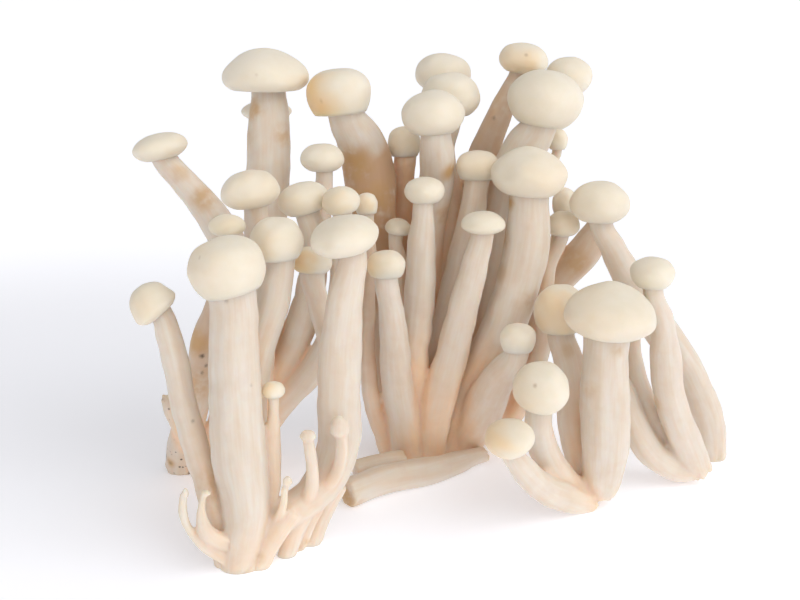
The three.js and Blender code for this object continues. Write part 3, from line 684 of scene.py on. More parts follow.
@dataclass
class Stem:
    """One stem and the surface round it.

    Args:
        mushroom: The mushroom.
        shift: From the table's coordinates to the frame's.
        number: Its place in the whole bunch, which seeds its unevenness.
    """

    mushroom: Mushroom
    shift: Array
    number: int
    spacing: float = 0.9
    sides: int = 24
    root_depth: float = 1.1  # how far the top goes up into the cap
    neck_share: float = 0.3  # length of the straight neck, as a share of the cap's radius
    neck_spare: float = 0.5  # and in mm on top of that
    lobes: tuple[tuple[int, float], ...] = ((2, 0.035), (3, 0.025), (5, 0.012), (7, 0.006))
    twist: float = 0.03  # radians a mm, at most
    swells: tuple[float, float] = (22.0, 40.0)  # least and greatest distance apart
    swell_depth: float = 0.02
    flare: float = 0.16  # swelling under the gills, as a share of the radius
    flare_reach: float = 1.6
    head_underside: float = 0.45  # depth of a pinhead, against its height
    head_sides: int = 24
    head_rings: int = 16
    route: Route = field(init=False)

    def __post_init__(self) -> None:
        """Lay the route through the seat and the stem's points in the table."""
        points = np.array(self.mushroom.stem, dtype=float)
        points[:, :3] += self.shift
        if self.mushroom.cap and not self.mushroom.pin:
            seat = Seat(self.mushroom, self.shift)
            up = seat.turn[:, 2]
            top = seat.place(seat.hub)
            neck = top - up * (self.neck_share * seat.radius + self.neck_spare)
            radius = points[0, 3]
            points = np.vstack([
                [*(top + up * self.root_depth), radius],
                [*neck, radius],
                points[1:],
            ])
        self.route = Route.through(points, self.spacing)

    def girth(self, angles: Array, travelled: Array) -> Array:
        """Radius round the stem as a share of its mean radius.

        Args:
            angles: Angles round it.
            travelled: Distances from the top.

        Returns:
            One share for each angle.
        """
        draw = np.random.default_rng(self.number)
        share = np.ones_like(angles)
        for lobes, depth in self.lobes:
            start, twist = draw.uniform(0, 2 * math.pi), draw.uniform(-self.twist, self.twist)
            share += depth * np.cos(lobes * angles + start + twist * travelled)
        length, start = draw.uniform(*self.swells), draw.uniform(0, 2 * math.pi)
        share += self.swell_depth * np.sin(2 * math.pi * travelled / length + start)
        if self.mushroom.cap and not self.mushroom.pin:
            below = travelled - self.root_depth
            share += self.flare * np.exp(-np.maximum(below, 0) / self.flare_reach)
        return share

    def add_to(self, body: Body) -> None:
        """Add the stem to a mesh as a closed tube, cut level at the surface it stands on.

        Args:
            body: The mesh.
        """
        count = len(self.route.radii)
        tube = bmesh.new()
        bmesh.ops.create_cone(
            tube, cap_ends=True, segments=self.sides, radius1=1, radius2=1, depth=1
        )
        tall = [edge for edge in tube.edges if abs(edge.verts[0].co.z - edge.verts[1].co.z) > 0.5]
        bmesh.ops.subdivide_edges(tube, edges=tall, cuts=count - 2, use_grid_fill=True)
        mesh = mesh_of(tube, "tube")
        places = rows_of(mesh.vertices, "co")
        row = np.rint((0.5 - places[:, 2]) * (count - 1)).astype(int)
        angles = np.arctan2(places[:, 1], places[:, 0])
        route = self.route
        reach = route.radii[row] * self.girth(angles, route.travelled[row])
        warped = (
            route.centres[row]
            + route.across[row] * (reach * np.cos(angles))[:, None]
            + route.beside[row] * (reach * np.sin(angles))[:, None]
        )
        mesh.vertices.foreach_set("co", warped.ravel())
        body.from_mesh(mesh)
        bpy.data.meshes.remove(mesh)
        if self.mushroom.pin:
            self.add_head(body)

    def add_head(self, body: Body) -> None:
        """Add a pinhead over the tip of the stem.

        Args:
            body: The mesh.
        """
        x, y, z, breadth, height = self.mushroom.cap[:5]
        middle = Vector((x, y, z)) + Vector(self.shift)
        made = bmesh.ops.create_uvsphere(
            body, u_segments=self.head_sides, v_segments=self.head_rings, radius=1
        )
        for vert in made["verts"]:
            if vert.co.z < 0:
                vert.co.z *= self.head_underside
            vert.co.x *= breadth / 2
            vert.co.y *= breadth / 2
            vert.co.z *= height
            vert.co += middle


@dataclass
class Surroundings:
    """The samples of all the stems of the bunch, to tell how close a place is to them.

    Args:
        stems: The stems.
        every: One sample in this many is kept.
        chunk: How many places are compared at a time.
        crowd_reach: How far a stem crowds what is round it.
        usual_radius: Radius of a stem that crowds as much as one.
        samples: Samples that stand for one stem.
    """

    stems: list[Stem]
    every: int = 2
    chunk: int = 4096
    crowd_reach: float = 2.5
    usual_radius: float = 3.0
    samples: int = 8
    centres: Array = field(init=False)
    radii: Array = field(init=False)
    owners: Array = field(init=False)

    def __post_init__(self) -> None:
        """Gather the samples."""
        kept = [(stem.route, stem.number) for stem in self.stems]
        self.centres = np.vstack([route.centres[:: self.every] for route, _ in kept])
        self.radii = np.concatenate([route.radii[:: self.every] for route, _ in kept])
        self.owners = np.concatenate([
            np.full(len(route.radii[:: self.every]), number) for route, number in kept
        ])

    def others(self, places: Array, own: Array) -> Iterator[tuple[slice, Array]]:
        """Distances to the samples of other stems, for some places at a time.

        Args:
            places: One place a row.
            own: Number of the stem that each place is on.

        Yields:
            Which places, and a row of distances for each, without end to its own stem.
        """
        for start in range(0, len(places), self.chunk):
            some = slice(start, start + self.chunk)
            away = distances(places[some], self.centres) - self.radii
            away[own[some][:, None] == self.owners[None, :]] = np.inf
            yield some, away

    def gap(self, places: Array, own: Array) -> Array:
        """Distance from each place to the nearest stem that isn't its own.

        Args:
            places: One place a row.
            own: Number of the stem that each place is on.

        Returns:
            One distance for each place, under 0 inside the other stem.
        """
        gaps = np.empty(len(places))
        for some, away in self.others(places, own):
            gaps[some] = away.min(axis=1)
        return gaps

    def crowd(self, places: Array, own: Array) -> Array:
        """How closely other stems stand round each place.

        Args:
            places: One place a row.
            own: Number of the stem that each place is on.

        Returns:
            0 where a stem stands alone, and about 5 deep in the bunch.
        """
        crowd = np.empty(len(places))
        girth = (self.radii / self.usual_radius) ** 2
        for some, away in self.others(places, own):
            weight = np.exp(-np.maximum(away, 0) / self.crowd_reach) * girth
            crowd[some] = weight.sum(axis=1) * self.every / self.samples
        return crowd


def distances(places: Array, centres: Array) -> Array:
    """Distances between every place and every centre.

    Args:
        places: One place a row.
        centres: One centre a row.

    Returns:
        One row for each place.
    """
    squares = (
        (places**2).sum(axis=1)[:, None]
        + (centres**2).sum(axis=1)[None, :]
        - 2 * places @ centres.T
    )
    return np.sqrt(np.maximum(squares, 0))


class Shader:
    """Adds nodes to one material and wires them."""

    ROUGHNESS = 0.55  # how much the finer layers of a noise count

    def __init__(self, name: str) -> None:
        """Start a material with its output and surface shader.

        Args:
            name: Name of the material.
        """
        self.material = bpy.data.materials.new(name)
        self.material.use_nodes = True
        self.tree = self.material.node_tree
        self.tree.nodes.clear()
        self.surface = self.tree.nodes.new("ShaderNodeBsdfPrincipled")
        output = self.tree.nodes.new("ShaderNodeOutputMaterial")
        self.tree.links.new(self.surface.outputs["BSDF"], output.inputs["Surface"])

    def add(self, kind: str, wires: dict, **settings: object) -> bpy.types.Node:
        """Add a node.

        Args:
            kind: Its type.
            wires: A value or a socket for each named or numbered input.
            settings: Its properties.

        Returns:
            The node.
        """
        node = self.tree.nodes.new(kind)
        for key, value in settings.items():
            setattr(node, key, value)
        for key, value in wires.items():
            self.wire(node, key, value)
        return node

    def wire(self, node: bpy.types.Node, key: str | int, value: object) -> None:
        """Set an input of a node to a value, or link a socket to it."""
        if isinstance(value, Socket):
            self.tree.links.new(value, node.inputs[key])
        else:
            node.inputs[key].default_value = value

    def level(self, name: str, socket: str = "Fac") -> Socket:
        """A stored attribute: a number, or a vector if that socket is asked for."""
        return self.add("ShaderNodeAttribute", {}, attribute_name=name).outputs[socket]

    def place(self) -> Socket:
        """The place on the object, in metres."""
        return self.add("ShaderNodeTexCoord", {}).outputs["Object"]

    def stretched(self, vector: Socket, scale: Point) -> Socket:
        """Coordinates scaled by a different share each way."""
        node = self.add("ShaderNodeMapping", {"Vector": vector, "Scale": scale})
        return node.outputs["Vector"]

    def noise(self, vector: Socket, scale: float, detail: float = 2.0) -> Socket:
        """Soft noise from 0 to 1."""
        wires = {"Vector": vector, "Scale": scale, "Detail": detail, "Roughness": self.ROUGHNESS}
        return self.add("ShaderNodeTexNoise", wires).outputs["Fac"]

    def span(self, value: Socket, low: float, high: float, top: float = 1.0) -> Socket:
        """A smooth rise from 0 to top as a value goes from low to high."""
        wires = {"Value": value, "From Min": low, "From Max": high, "To Max": top}
        node = self.add("ShaderNodeMapRange", wires, interpolation_type="SMOOTHSTEP")
        return node.outputs["Result"]

    def times(self, first: Socket, second: object) -> Socket:
        """A product, held between 0 and 1."""
        node = self.add("ShaderNodeMath", {0: first, 1: second}, operation="MULTIPLY", use_clamp=True)
        return node.outputs["Value"]

    def plus(self, first: Socket, second: object) -> Socket:
        """A sum."""
        return self.add("ShaderNodeMath", {0: first, 1: second}, operation="ADD").outputs["Value"]

    def blend(self, first: Socket, second: Socket, share: float) -> Socket:
        """A share of one pattern, and the rest of it from another."""
        return self.plus(self.times(first, share), self.times(second, 1 - share))

    def mix(self, share: Socket, first: object, second: object) -> Socket:
        """A colour between two others."""
        node = self.tree.nodes.new("ShaderNodeMix")
        node.data_type = "RGBA"
        colors = {socket.identifier: socket for socket in node.inputs}
        pairs = (("Factor_Float", share), ("A_Color", first), ("B_Color", second))
        for key, value in pairs:
            if isinstance(value, Socket):
                self.tree.links.new(value, colors[key])
            else:
                colors[key].default_value = value
        return next(socket for socket in node.outputs if socket.identifier == "Result_Color")

    def bump(self, height: Socket, distance: float, strength: float) -> Socket:
        """A normal tilted by a height, in metres."""
        wires = {"Height": height, "Distance": distance, "Strength": strength}
        return self.add("ShaderNodeBump", wires).outputs["Normal"]

    def finished(self, wires: dict) -> Material:
        """Wire the surface.

        Args:
            wires: A value or a socket for each of its inputs.

        Returns:
            The material.
        """
        for key, value in wires.items():
            self.wire(self.surface, key, value)
        return self.material


@dataclass(frozen=True)
class StemFlesh:
    """Silky whitish beige flesh with lengthwise fibres; tan where stems press together, with painted
    warm bounce light deep in the bunch and painted shade at some marks.

    Reads the attributes grain, nook, stain, bruise, dirt, speck and cut of the clumps.
    """

    name: str = "stem_flesh"
    pale: Paint = srgb(229, 221, 210)
    fibre: Paint = srgb(224, 209, 191)
    # tan of pressed flesh, and painted warm bounce light in the crevices deep in the bunch
    pressed_and_bounce_tan: Paint = srgb(252, 216, 180)
    stained: Paint = srgb(204, 168, 134)
    # brown of bruises, and painted shade at some marked spots
    bruised: Paint = srgb(206, 170, 124)
    cut: Paint = srgb(214, 186, 152)
    soil: Paint = srgb(84, 66, 50)
    fine_grain: Point = (2.2, 2.2, 0.12)  # across, across and along, a mm
    broad_grain: Point = (0.55, 0.55, 0.06)
    patch_scale: float = 170.0  # a metre, as those below
    blotch_scale: float = 420.0
    crumb_scale: float = 900.0
    crumb_cover_scale: float = 520.0
    mottling: float = 0.1
    roughness: float = 0.42
    relief: float = 0.0001  # metres
    relief_strength: float = 0.25
    scatter: float = 0.0024  # metres
    scatter_shares: Point = (1.0, 0.74, 0.55)  # of it, in red, green and blue
    sheen: float = 0.35

    def build(self) -> Material:
        """Make the material.

        Returns:
            The material.
        """
        desk = Shader(self.name)
        grain, place = desk.level("grain", "Vector"), desk.place()
        fine = desk.noise(desk.stretched(grain, self.fine_grain), 1.0, 3.0)
        broad = desk.noise(desk.stretched(grain, self.broad_grain), 1.0, 3.0)
        patches = desk.noise(place, self.patch_scale, 3.0)
        blotches = desk.blend(desk.noise(place, self.blotch_scale), patches, 0.4)

        color = desk.mix(desk.span(desk.blend(fine, broad, 0.25), 0.3, 0.7), self.pale, self.fibre)
        uneven = desk.span(desk.blend(patches, fine, 0.6), 0.25, 0.7)
        # painted warm bounce light deep in the bunch, with the real tan where stems press together
        deep = desk.times(desk.level("nook"), desk.plus(desk.times(uneven, 0.5), 0.5))
        layers = (
            (deep, self.pressed_and_bounce_tan),
            (desk.times(desk.span(blotches, 0.46, 0.62), self.mottling), self.stained),
            (desk.times(desk.level("stain"), desk.span(blotches, 0.2, 0.5)), self.stained),
            # bruises, and painted shade at some marked spots
            (desk.times(desk.level("bruise"), desk.span(blotches, 0.34, 0.56)), self.bruised),
            (desk.times(desk.level("cut"), desk.span(patches, 0.2, 0.7)), self.cut),
            (desk.plus(self.crumbs(desk, place), desk.level("speck")), self.soil),
        )
        for cover, paint in layers:
            color = desk.mix(cover, color, paint)
        return desk.finished({
            "Base Color": color,
            "Roughness": desk.plus(desk.span(fine, 0.2, 0.8, 0.2), self.roughness),
            "Normal": desk.bump(desk.plus(fine, broad), self.relief, self.relief_strength),
            "Subsurface Weight": 1.0,
            "Subsurface Radius": self.scatter_shares,
            "Subsurface Scale": self.scatter,
            "Specular IOR Level": self.sheen,
        })

    def crumbs(self, desk: Shader, place: Socket) -> Socket:
        """Crumbs of soil where the flesh is dirty.

        Args:
            desk: The material.
            place: The place on the clump.

        Returns:
            1 in a crumb and 0 beside it.
        """
        wires = {"Vector": place, "Scale": self.crumb_scale}
        cells = desk.add("ShaderNodeTexVoronoi", wires, feature="F1")
        dots = desk.span(cells.outputs["Distance"], 0.34, 0.2)
        some = desk.span(desk.noise(place, self.crumb_cover_scale, 1.0), 0.5, 0.58)
        return desk.times(desk.times(dots, some), desk.level("dirt"))


@dataclass(frozen=True)
class CapSkin:
    """Matt ivory skin, faintly marbled, tan on one side, partly painted warm shade, with paler gills
    and painted shade in the grooves between them.

    Reads the attributes tan_and_shade, fleck, under and groove_shade of the caps.
    """

    name: str = "cap_skin"
    ivory: Paint = srgb(239, 230, 214)
    marbled: Paint = srgb(235, 225, 206)
    # tan of the skin, and painted warm shade on a cap's shaded side
    tan: Paint = srgb(238, 200, 144)
    gills: Paint = srgb(244, 232, 212)
    # painted shade in the grooves between the gills
    groove_shade: Paint = srgb(214, 188, 156)
    speck: Paint = srgb(150, 112, 60)
    marble_scale: float = 300.0  # a metre, as those below
    cloud_scale: float = 80.0
    pore_scale: float = 1900.0
    pore_share: float = 0.35
    roughness: float = 0.5
    relief: float = 0.00012  # metres
    relief_strength: float = 0.35
    scatter: float = 0.0022  # metres
    scatter_shares: Point = (1.0, 0.88, 0.74)  # of it, in red, green and blue
    sheen: float = 0.3

    def build(self) -> Material:
        """Make the material.

        Returns:
            The material.
        """
        desk = Shader(self.name)
        place = desk.place()
        marble = desk.noise(place, self.marble_scale, 3.0)
        cloud = desk.noise(place, self.cloud_scale)
        shade = desk.blend(marble, cloud, 0.45)
        color = desk.mix(desk.span(shade, 0.36, 0.66), self.ivory, self.marbled)
        spread = desk.plus(desk.times(desk.span(cloud, 0.25, 0.7), 0.5), 0.5)
        # painted shade in the grooves between the gills
        below = desk.mix(desk.level("groove_shade"), self.gills, self.groove_shade)
        layers = (
            # tan, partly painted warm shade on the cap's shaded side
            (desk.times(desk.level("tan_and_shade"), spread), self.tan),
            (desk.level("fleck"), self.speck),
            (desk.level("under"), below),
        )
        for cover, paint in layers:
            color = desk.mix(cover, color, paint)
        height = desk.plus(desk.times(desk.noise(place, self.pore_scale), self.pore_share), marble)
        return desk.finished({
            "Base Color": color,
            "Roughness": desk.plus(desk.span(marble, 0.2, 0.8, 0.15), self.roughness),
            "Normal": desk.bump(height, self.relief, self.relief_strength),
            "Subsurface Weight": 1.0,
            "Subsurface Radius": self.scatter_shares,
            "Subsurface Scale": self.scatter,
            "Specular IOR Level": self.sheen,
        })


@dataclass(frozen=True)
class Tabletop:
    """Plain white table surface with a painted glow, as if lit a little from below, and a painted soft
    shadow at the back left where that glow is less.

    Args:
        dim_at: Middle of the painted soft shadow, in the frame's coordinates, in metres.
        dim_from: Distance from there at which the table begins to dim.
        dim_full: Distance within which it is dimmest.
        dim_by: Share of the glow that is lost there.
    """

    name: str = "tabletop"
    white: Paint = srgb(249, 250, 255)
    shade: Paint = srgb(247, 248, 255)
    shade_scale: float = 6.0  # a metre
    glow: float = 0.325
    dim_at: Point = (-0.12, 0.1, 0.0)
    dim_from: float = 0.2
    dim_full: float = 0.03
    dim_by: float = 0.5
    roughness: float = 0.7

    def build(self) -> Material:
        """Make the material.

        Returns:
            The material.
        """
        desk = Shader(self.name)
        place = desk.place()
        color = desk.mix(desk.noise(place, self.shade_scale), self.white, self.shade)
        # painted soft shadow: the glow is less round a place at the back left
        away = desk.add("ShaderNodeVectorMath", {0: place, 1: self.dim_at}, operation="DISTANCE")
        dim = desk.span(
            away.outputs["Value"], self.dim_from, self.dim_full, -self.dim_by * self.glow
        )
        return desk.finished({
            "Base Color": color,
            # painted glow: the table gives off light though it is no lamp
            "Emission Color": color,
            "Emission Strength": desk.plus(dim, self.glow),
            "Roughness": self.roughness,
        })


def store(mesh: Mesh, name: str, values: Array) -> None:
    """Store one number or vector for each vertex.

    Args:
        mesh: The mesh.
        name: Name of the attribute.
        values: One row for each vertex.
    """
    kind, key = ("FLOAT_VECTOR", "vector") if values.ndim == 2 else ("FLOAT", "value")
    layer = mesh.attributes.new(name, kind, "POINT")
    layer.data.foreach_set(key, values.astype(np.float32).ravel())


def finish_piece(mesh: Mesh, node: str, skin: Material) -> None:
    """Bring a mesh from mm to metres and show it in place of its node.

    Args:
        mesh: The mesh, in mm, in the frame's coordinates.
        node: The frame's node that it stands for.
        skin: Its material.
    """
    mesh.transform(Matrix.Scale(MM, 4))
    mesh.materials.append(skin)
    mesh.shade_smooth()
    piece = in_scene(f"{node}_fine", mesh)
    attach(piece, "root")
    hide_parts(node)
    LOG.info("%s: %d faces", piece.name, len(mesh.polygons))


@dataclass
class Clump:
    """The fused stems of one clump.

    Args:
        name: Name of the clump.
        stems: Its stems.
        around: All the stems of the bunch.
        spots: Marks, with their places in the frame's coordinates.
        warmth: How strongly its flesh turns warm tan where stems press together, and how much painted
            warm bounce light it gets where they crowd.
    """

    name: str
    stems: list[Stem]
    around: Surroundings
    spots: tuple[Spot, ...]
    warmth: float
    voxel: float = 0.5
    voxel_with_pins: float = 0.38
    smoothing: int = 2
    smoothing_share: float = 0.5
    grain_apart: float = 17.0  # between the grains of two stems, so that they differ
    grain_stretch: float = 0.06  # fibres run along the stem
    fibre_length: float = 1.9
    fibre_depth: float = 0.02
    lump_length: float = 7.0
    lump_depth: float = 0.08
    level_from: float = 1.0  # height over the table from which the flesh is uneven
    nook_reach: float = 3.0
    crowd_range: tuple[float, float] = (0.3, 2.6)
    crowd_share: float = 0.9
    stain_fade: float = 6.0
    stain_run: float = 34.0
    stain_loss: float = 0.8
    stain_wander: float = 1.5
    torn_depth: float = 0.3
    torn_reach: float = 1.6
    cut_reach: float = 1.0
    cut_strength: float = 0.6

    def fused(self) -> Mesh:
        """Join the stems to one closed skin, cut level at the surface.

        Returns:
            The mesh, in mm.
        """
        body = bmesh.new()
        for stem in self.stems:
            stem.add_to(body)
        loose = mesh_of(body, f"{self.name}_tubes")
        carrier = in_scene(loose.name, loose)
        weld = carrier.modifiers.new("weld", "REMESH")
        weld.mode = "VOXEL"
        pins = any(stem.mushroom.pin for stem in self.stems)
        weld.voxel_size = self.voxel_with_pins if pins else self.voxel
        depsgraph = bpy.context.evaluated_depsgraph_get()
        skin = bpy.data.meshes.new_from_object(carrier.evaluated_get(depsgraph))
        bpy.data.objects.remove(carrier)
        bpy.data.meshes.remove(loose)

        body = bmesh.new()
        body.from_mesh(skin)
        for _ in range(self.smoothing):
            bmesh.ops.smooth_vert(
                body, verts=body.verts, factor=self.smoothing_share,
                use_axis_x=True, use_axis_y=True, use_axis_z=True,
            )
        everything = [*body.verts, *body.edges, *body.faces]
        cut = bmesh.ops.bisect_plane(
            body, geom=everything, dist=1e-4, plane_co=(0, 0, 0), plane_no=(0, 0, -1), clear_outer=True
        )
        rim = [item for item in cut["geom_cut"] if isinstance(item, bmesh.types.BMEdge)]
        bmesh.ops.holes_fill(body, edges=rim, sides=0)
        flat = [face for face in body.faces if len(face.verts) > 4]
        bmesh.ops.triangulate(body, faces=flat)
        body.to_mesh(skin)
        body.free()
        return skin

    def nearest(self, places: Array) -> tuple[Array, Array, Array]:
        """Tell which stem each place is on, and where on it.

        Args:
            places: One place a row.

        Returns:
            The number of the stem, grain coordinates (two across it and one along), and
            the distance to its foot, for each place.
        """
        route = Route.joined([stem.route for stem in self.stems])
        numbers = np.concatenate([
            np.full(len(stem.route.radii), stem.number) for stem in self.stems
        ])
        best = np.empty(len(places), dtype=int)
        for start in range(0, len(places), self.around.chunk):
            some = slice(start, start + self.around.chunk)
            best[some] = (distances(places[some], route.centres) - route.radii).argmin(axis=1)
        off, own = places - route.centres[best], numbers[best]
        grain = np.column_stack([
            (off * route.across[best]).sum(axis=1) + self.grain_apart * own,
            (off * route.beside[best]).sum(axis=1),
            route.travelled[best] + (off * route.along[best]).sum(axis=1),
        ])
        return own, grain, route.left[best]

    def lift(self, grain: Array, to_foot: Array, lumps: Array) -> Array:
        """How far the flesh stands out by its fibres and lumps, more so at its torn feet.

        Args:
            grain: Grain coordinates of each place.
            to_foot: Distance of each from the foot.
            lumps: Broad unevenness at each, about -1 to 1.

        Returns:
            One distance for each place.
        """
        fibres = Ripples(seed=len(self.name), length=self.fibre_length).at(
            grain * np.array([1.0, 1.0, self.grain_stretch])
        )
        torn = np.exp(-np.maximum(to_foot, 0) / self.torn_reach)
        return (self.fibre_depth + self.torn_depth * torn) * fibres + self.lump_depth * lumps

    def stain(self, own: Array, travelled: Array, lumps: Array) -> Array:
        """How tan the flesh is where its stem is stained.

        Args:
            own: Number of the stem that each place is on.
            travelled: Distance of each from the top.
            lumps: Broad unevenness at each, about -1 to 1.

        Returns:
            0 to 1 for each place.
        """
        mushrooms = {stem.number: stem.mushroom for stem in self.stems}
        stain = np.array([mushrooms[number].stain for number in own])
        begins = np.array([mushrooms[number].stain_from for number in own])
        below = travelled - begins + self.stain_wander * lumps
        stain *= ease(below / self.stain_fade)
        return stain * (1 - self.stain_loss * ease((below - self.stain_run) / (2 * self.stain_fade)))

    def build(self, flesh: Material) -> None:
        """Make the clump's piece.

        Args:
            flesh: Its material.
        """
        skin = self.fused()
        places = rows_of(skin.vertices, "co")
        own, grain, to_foot = self.nearest(places)
        gap = self.around.gap(places, own)
        lumps = Ripples(seed=3 * len(self.name), length=self.lump_length).at(places)
        lift = self.lift(grain, to_foot, lumps) * ease(places[:, 2] / self.level_from)
        places = places + rows_of(skin.vertex_normals, "vector") * lift[:, None]
        places[:, 2] = np.maximum(places[:, 2], 0)
        skin.vertices.foreach_set("co", places.ravel())
        skin.update()

        # nook and crowd: the real tan where stems press, and painted warm bounce light where stems
        # crowd deep in the bunch
        nook = ease(1 - gap / self.nook_reach) ** 2
        low, high = self.crowd_range
        crowd = ease((self.around.crowd(places, own) - low) / (high - low))
        store(skin, "grain", grain)
        store(skin, "nook", self.warmth * np.maximum(nook, self.crowd_share * crowd))
        store(skin, "stain", self.stain(own, grain[:, 2], lumps))
        for kind in Mark:
            store(skin, kind.value, strength_of(self.spots, kind, places))
        cut = np.exp(-np.maximum(to_foot, 0) / self.cut_reach)
        store(skin, "cut", self.cut_strength * cut)
        finish_piece(skin, f"stems_{self.name}", flesh)


@dataclass
class Cap:
    """One cap: a dome, a margin rolled under it, and gills round the seat.

    Args:
        node: The frame's node.
        mushroom: The mushroom.
        shift: From the table's coordinates to the frame's.
        number: Its place in the whole bunch, which seeds its unevenness.
        spots: Marks, with their places in the frame's coordinates.
    """

    node: str
    mushroom: Mushroom
    shift: Array
    number: int
    spots: tuple[Spot, ...]
    sides: tuple[tuple[float, int], ...] = ((13.0, 192), (GILLED_FROM, 144), (0.0, 72))
    gill_samples: int = 3  # points round the cap to a gill
    dome_rings: int = 26
    margin_rings: int = 10
    under_rings: int = 14
    roll: tuple[tuple[float, float], ...] = ((0.012, 0.004), (0.024, 0.018), (0.034, 0.04))
    umbo_reach: float = 0.42  # share of the radius
    gill_depth: float = 0.14
    gill_start: float = 0.1  # share of the way in by which gills are full
    gill_sink: tuple[float, float] = (0.75, 0.7)  # from where they sink again, and how far
    least_under: float = 0.05
    outline_seed: int = 100
    lobe_depth: float = 0.012
    wave_depth: float = 0.022
    wave_rings: float = 8.0  # rings beside the widest one that wave
    lump_seed: int = 200
    lump_length: float = 0.9
    lump_depth: float = 0.014
    lump_rings: tuple[float, float] = (4.0, 6.0)  # how far past the widest ring, and the fade
    tan_and_shade_edge: tuple[float, float] = (0.2, 1.2)  # how far past the middle, and the fade
    tan_and_shade_wander: float = 0.12

    def around(self) -> int:
        """How many points go round it: a whole number of gills."""
        return next(count for least, count in self.sides if self.mushroom.cap[3] >= least)

    def profile(self, seat: Seat) -> tuple[Array, Array, Array, Array]:
        """Reach and height of each ring, in mm, from the crown to the seat.

        Args:
            seat: The cap's seat.

        Returns:
            Reach, height of a gill's edge, height between gills, and how far the ring is
            drawn over to the seat's middle, from 0 to 1.
        """
        angles = np.linspace(0, math.pi / 2, self.dome_rings + 1)
        reach = np.sin(angles) ** self.mushroom.fullness
        raised = 1 + self.mushroom.umbo * np.exp(-((reach / self.umbo_reach) ** 2))
        height = seat.height / seat.radius * np.cos(angles) * raised / (1 + self.mushroom.umbo)

        low, hub = seat.depth / seat.radius, seat.hub_radius / seat.radius
        steps = np.linspace(0, 1, self.margin_rings - len(self.roll) + 1)[1:]
        angles = steps * math.acos(seat.lowest)
        curl = -low * np.sin(angles) / math.sqrt(1 - seat.lowest**2)
        lip = np.vstack([
            np.column_stack([np.cos(angles), curl]),
            [(seat.lowest - inward, up - low) for inward, up in self.roll],
        ])

        inner, base = lip[-1]
        part = np.linspace(0, 1, self.under_rings + 1)[1:]
        under = np.concatenate([inner + (hub - inner) * part[:-2] / part[-3], [hub / 2, 0.0]])
        drawn = np.clip((inner - under) / max(inner - hub, self.least_under), 0, 1)
        edge = base + (seat.hub[2] / seat.radius - base) * ease(drawn)
        sink_from, sink = self.gill_sink
        sunk = 1 - sink * ease((drawn - sink_from) / (1 - sink_from))
        depth = (self.gill_depth if seat.gilled else 0.0) * ease(drawn / self.gill_start) * sunk

        reaches = np.concatenate([reach, lip[:, 0], under])
        edges = np.concatenate([height, lip[:, 1], edge])
        between = np.concatenate([height, lip[:, 1], edge + depth])
        drawn = np.concatenate([np.zeros(len(reach) + len(lip)), drawn])
        return reaches * seat.radius, edges * seat.radius, between * seat.radius, drawn

    def ball(self, rings: int) -> tuple[Mesh, Array, Array]:
        """Make the ball that the cap is shaped from.

        Args:
            rings: How many rings it has from crown to seat.

        Returns:
            The mesh, and the ring and the angle of each of its points.
        """
        body = bmesh.new()
        bmesh.ops.create_uvsphere(body, u_segments=self.around(), v_segments=rings, radius=1)
        mesh = mesh_of(body, self.node)
        x, y, z = rows_of(mesh.vertices, "co").T
        ring = np.rint(np.arccos(np.clip(z, -1, 1)) / math.pi * rings).astype(int)
        return mesh, ring, np.arctan2(y, x)

    def build(self, skin: Material) -> None:
        """Make the cap's piece.

        Args:
            skin: Its material.
        """
        seat = Seat(self.mushroom, self.shift)
        reach, edge, between, drawn = self.profile(seat)
        mesh, ring, angle = self.ball(len(reach) - 1)
        step = np.rint(angle / (2 * math.pi) * self.around()).astype(int) % self.gill_samples
        drawn = drawn[ring]

        starts = np.random.default_rng(self.outline_seed + self.number).uniform(0, 2 * math.pi, 4)
        lobes = self.lobe_depth * (np.sin(3 * angle + starts[0]) + np.sin(2 * angle + starts[1]))
        waves = np.sin(4 * angle + starts[2]) + 0.5 * np.sin(7 * angle + starts[3])
        rim = ease(1 - np.abs(ring - self.dome_rings) / self.wave_rings)
        out = reach[ring] * (1 + lobes)
        rise = self.mushroom.waves * self.wave_depth * waves * rim * seat.radius
        places = np.column_stack([
            out * np.cos(angle) + seat.hub[0] * drawn,
            out * np.sin(angle) + seat.hub[1] * drawn,
            np.where(step == 0, edge[ring], between[ring]) + rise,
        ])
        length = self.lump_length * seat.radius
        lumps = Ripples(seed=self.lump_seed + self.number, length=length).at(places)
        past, fade = self.lump_rings
        top = ease((self.dome_rings + past - ring) / fade)
        places *= (1 + self.lump_depth * lumps * top)[:, None]
        placed = seat.place(places)
        mesh.vertices.foreach_set("co", placed.ravel())
        mesh.update()

        # tan, partly painted warm shade on the cap's shaded side
        store(mesh, "tan_and_shade", self.tan_and_shade(places / seat.radius, lumps))
        store(mesh, "under", (ring > self.dome_rings + self.margin_rings).astype(float))
        # marks the grooves between the gills, where shade is painted
        store(mesh, "groove_shade", np.where(step == 0, 0.0, drawn > 0))
        store(mesh, "fleck", strength_of(self.spots, Mark.SPECK, placed))
        finish_piece(mesh, self.node, skin)

    def tan_and_shade(self, places: Array, lumps: Array) -> Array:
        """How tan the skin is, most on its tannest side, where the tan is partly painted warm shade.

        Args:
            places: Places in the cap's own coordinates, as shares of its radius.
            lumps: Unevenness at each, about -1 to 1.

        Returns:
            0 to 1 for each place.
        """
        side = math.radians(self.mushroom.tan_and_shade_side)
        facing = places[:, 0] * math.cos(side) + places[:, 1] * math.sin(side)
        past, fade = self.tan_and_shade_edge
        return self.mushroom.tan_and_shade.value * ease((facing + past) / fade + self.tan_and_shade_wander * lumps)


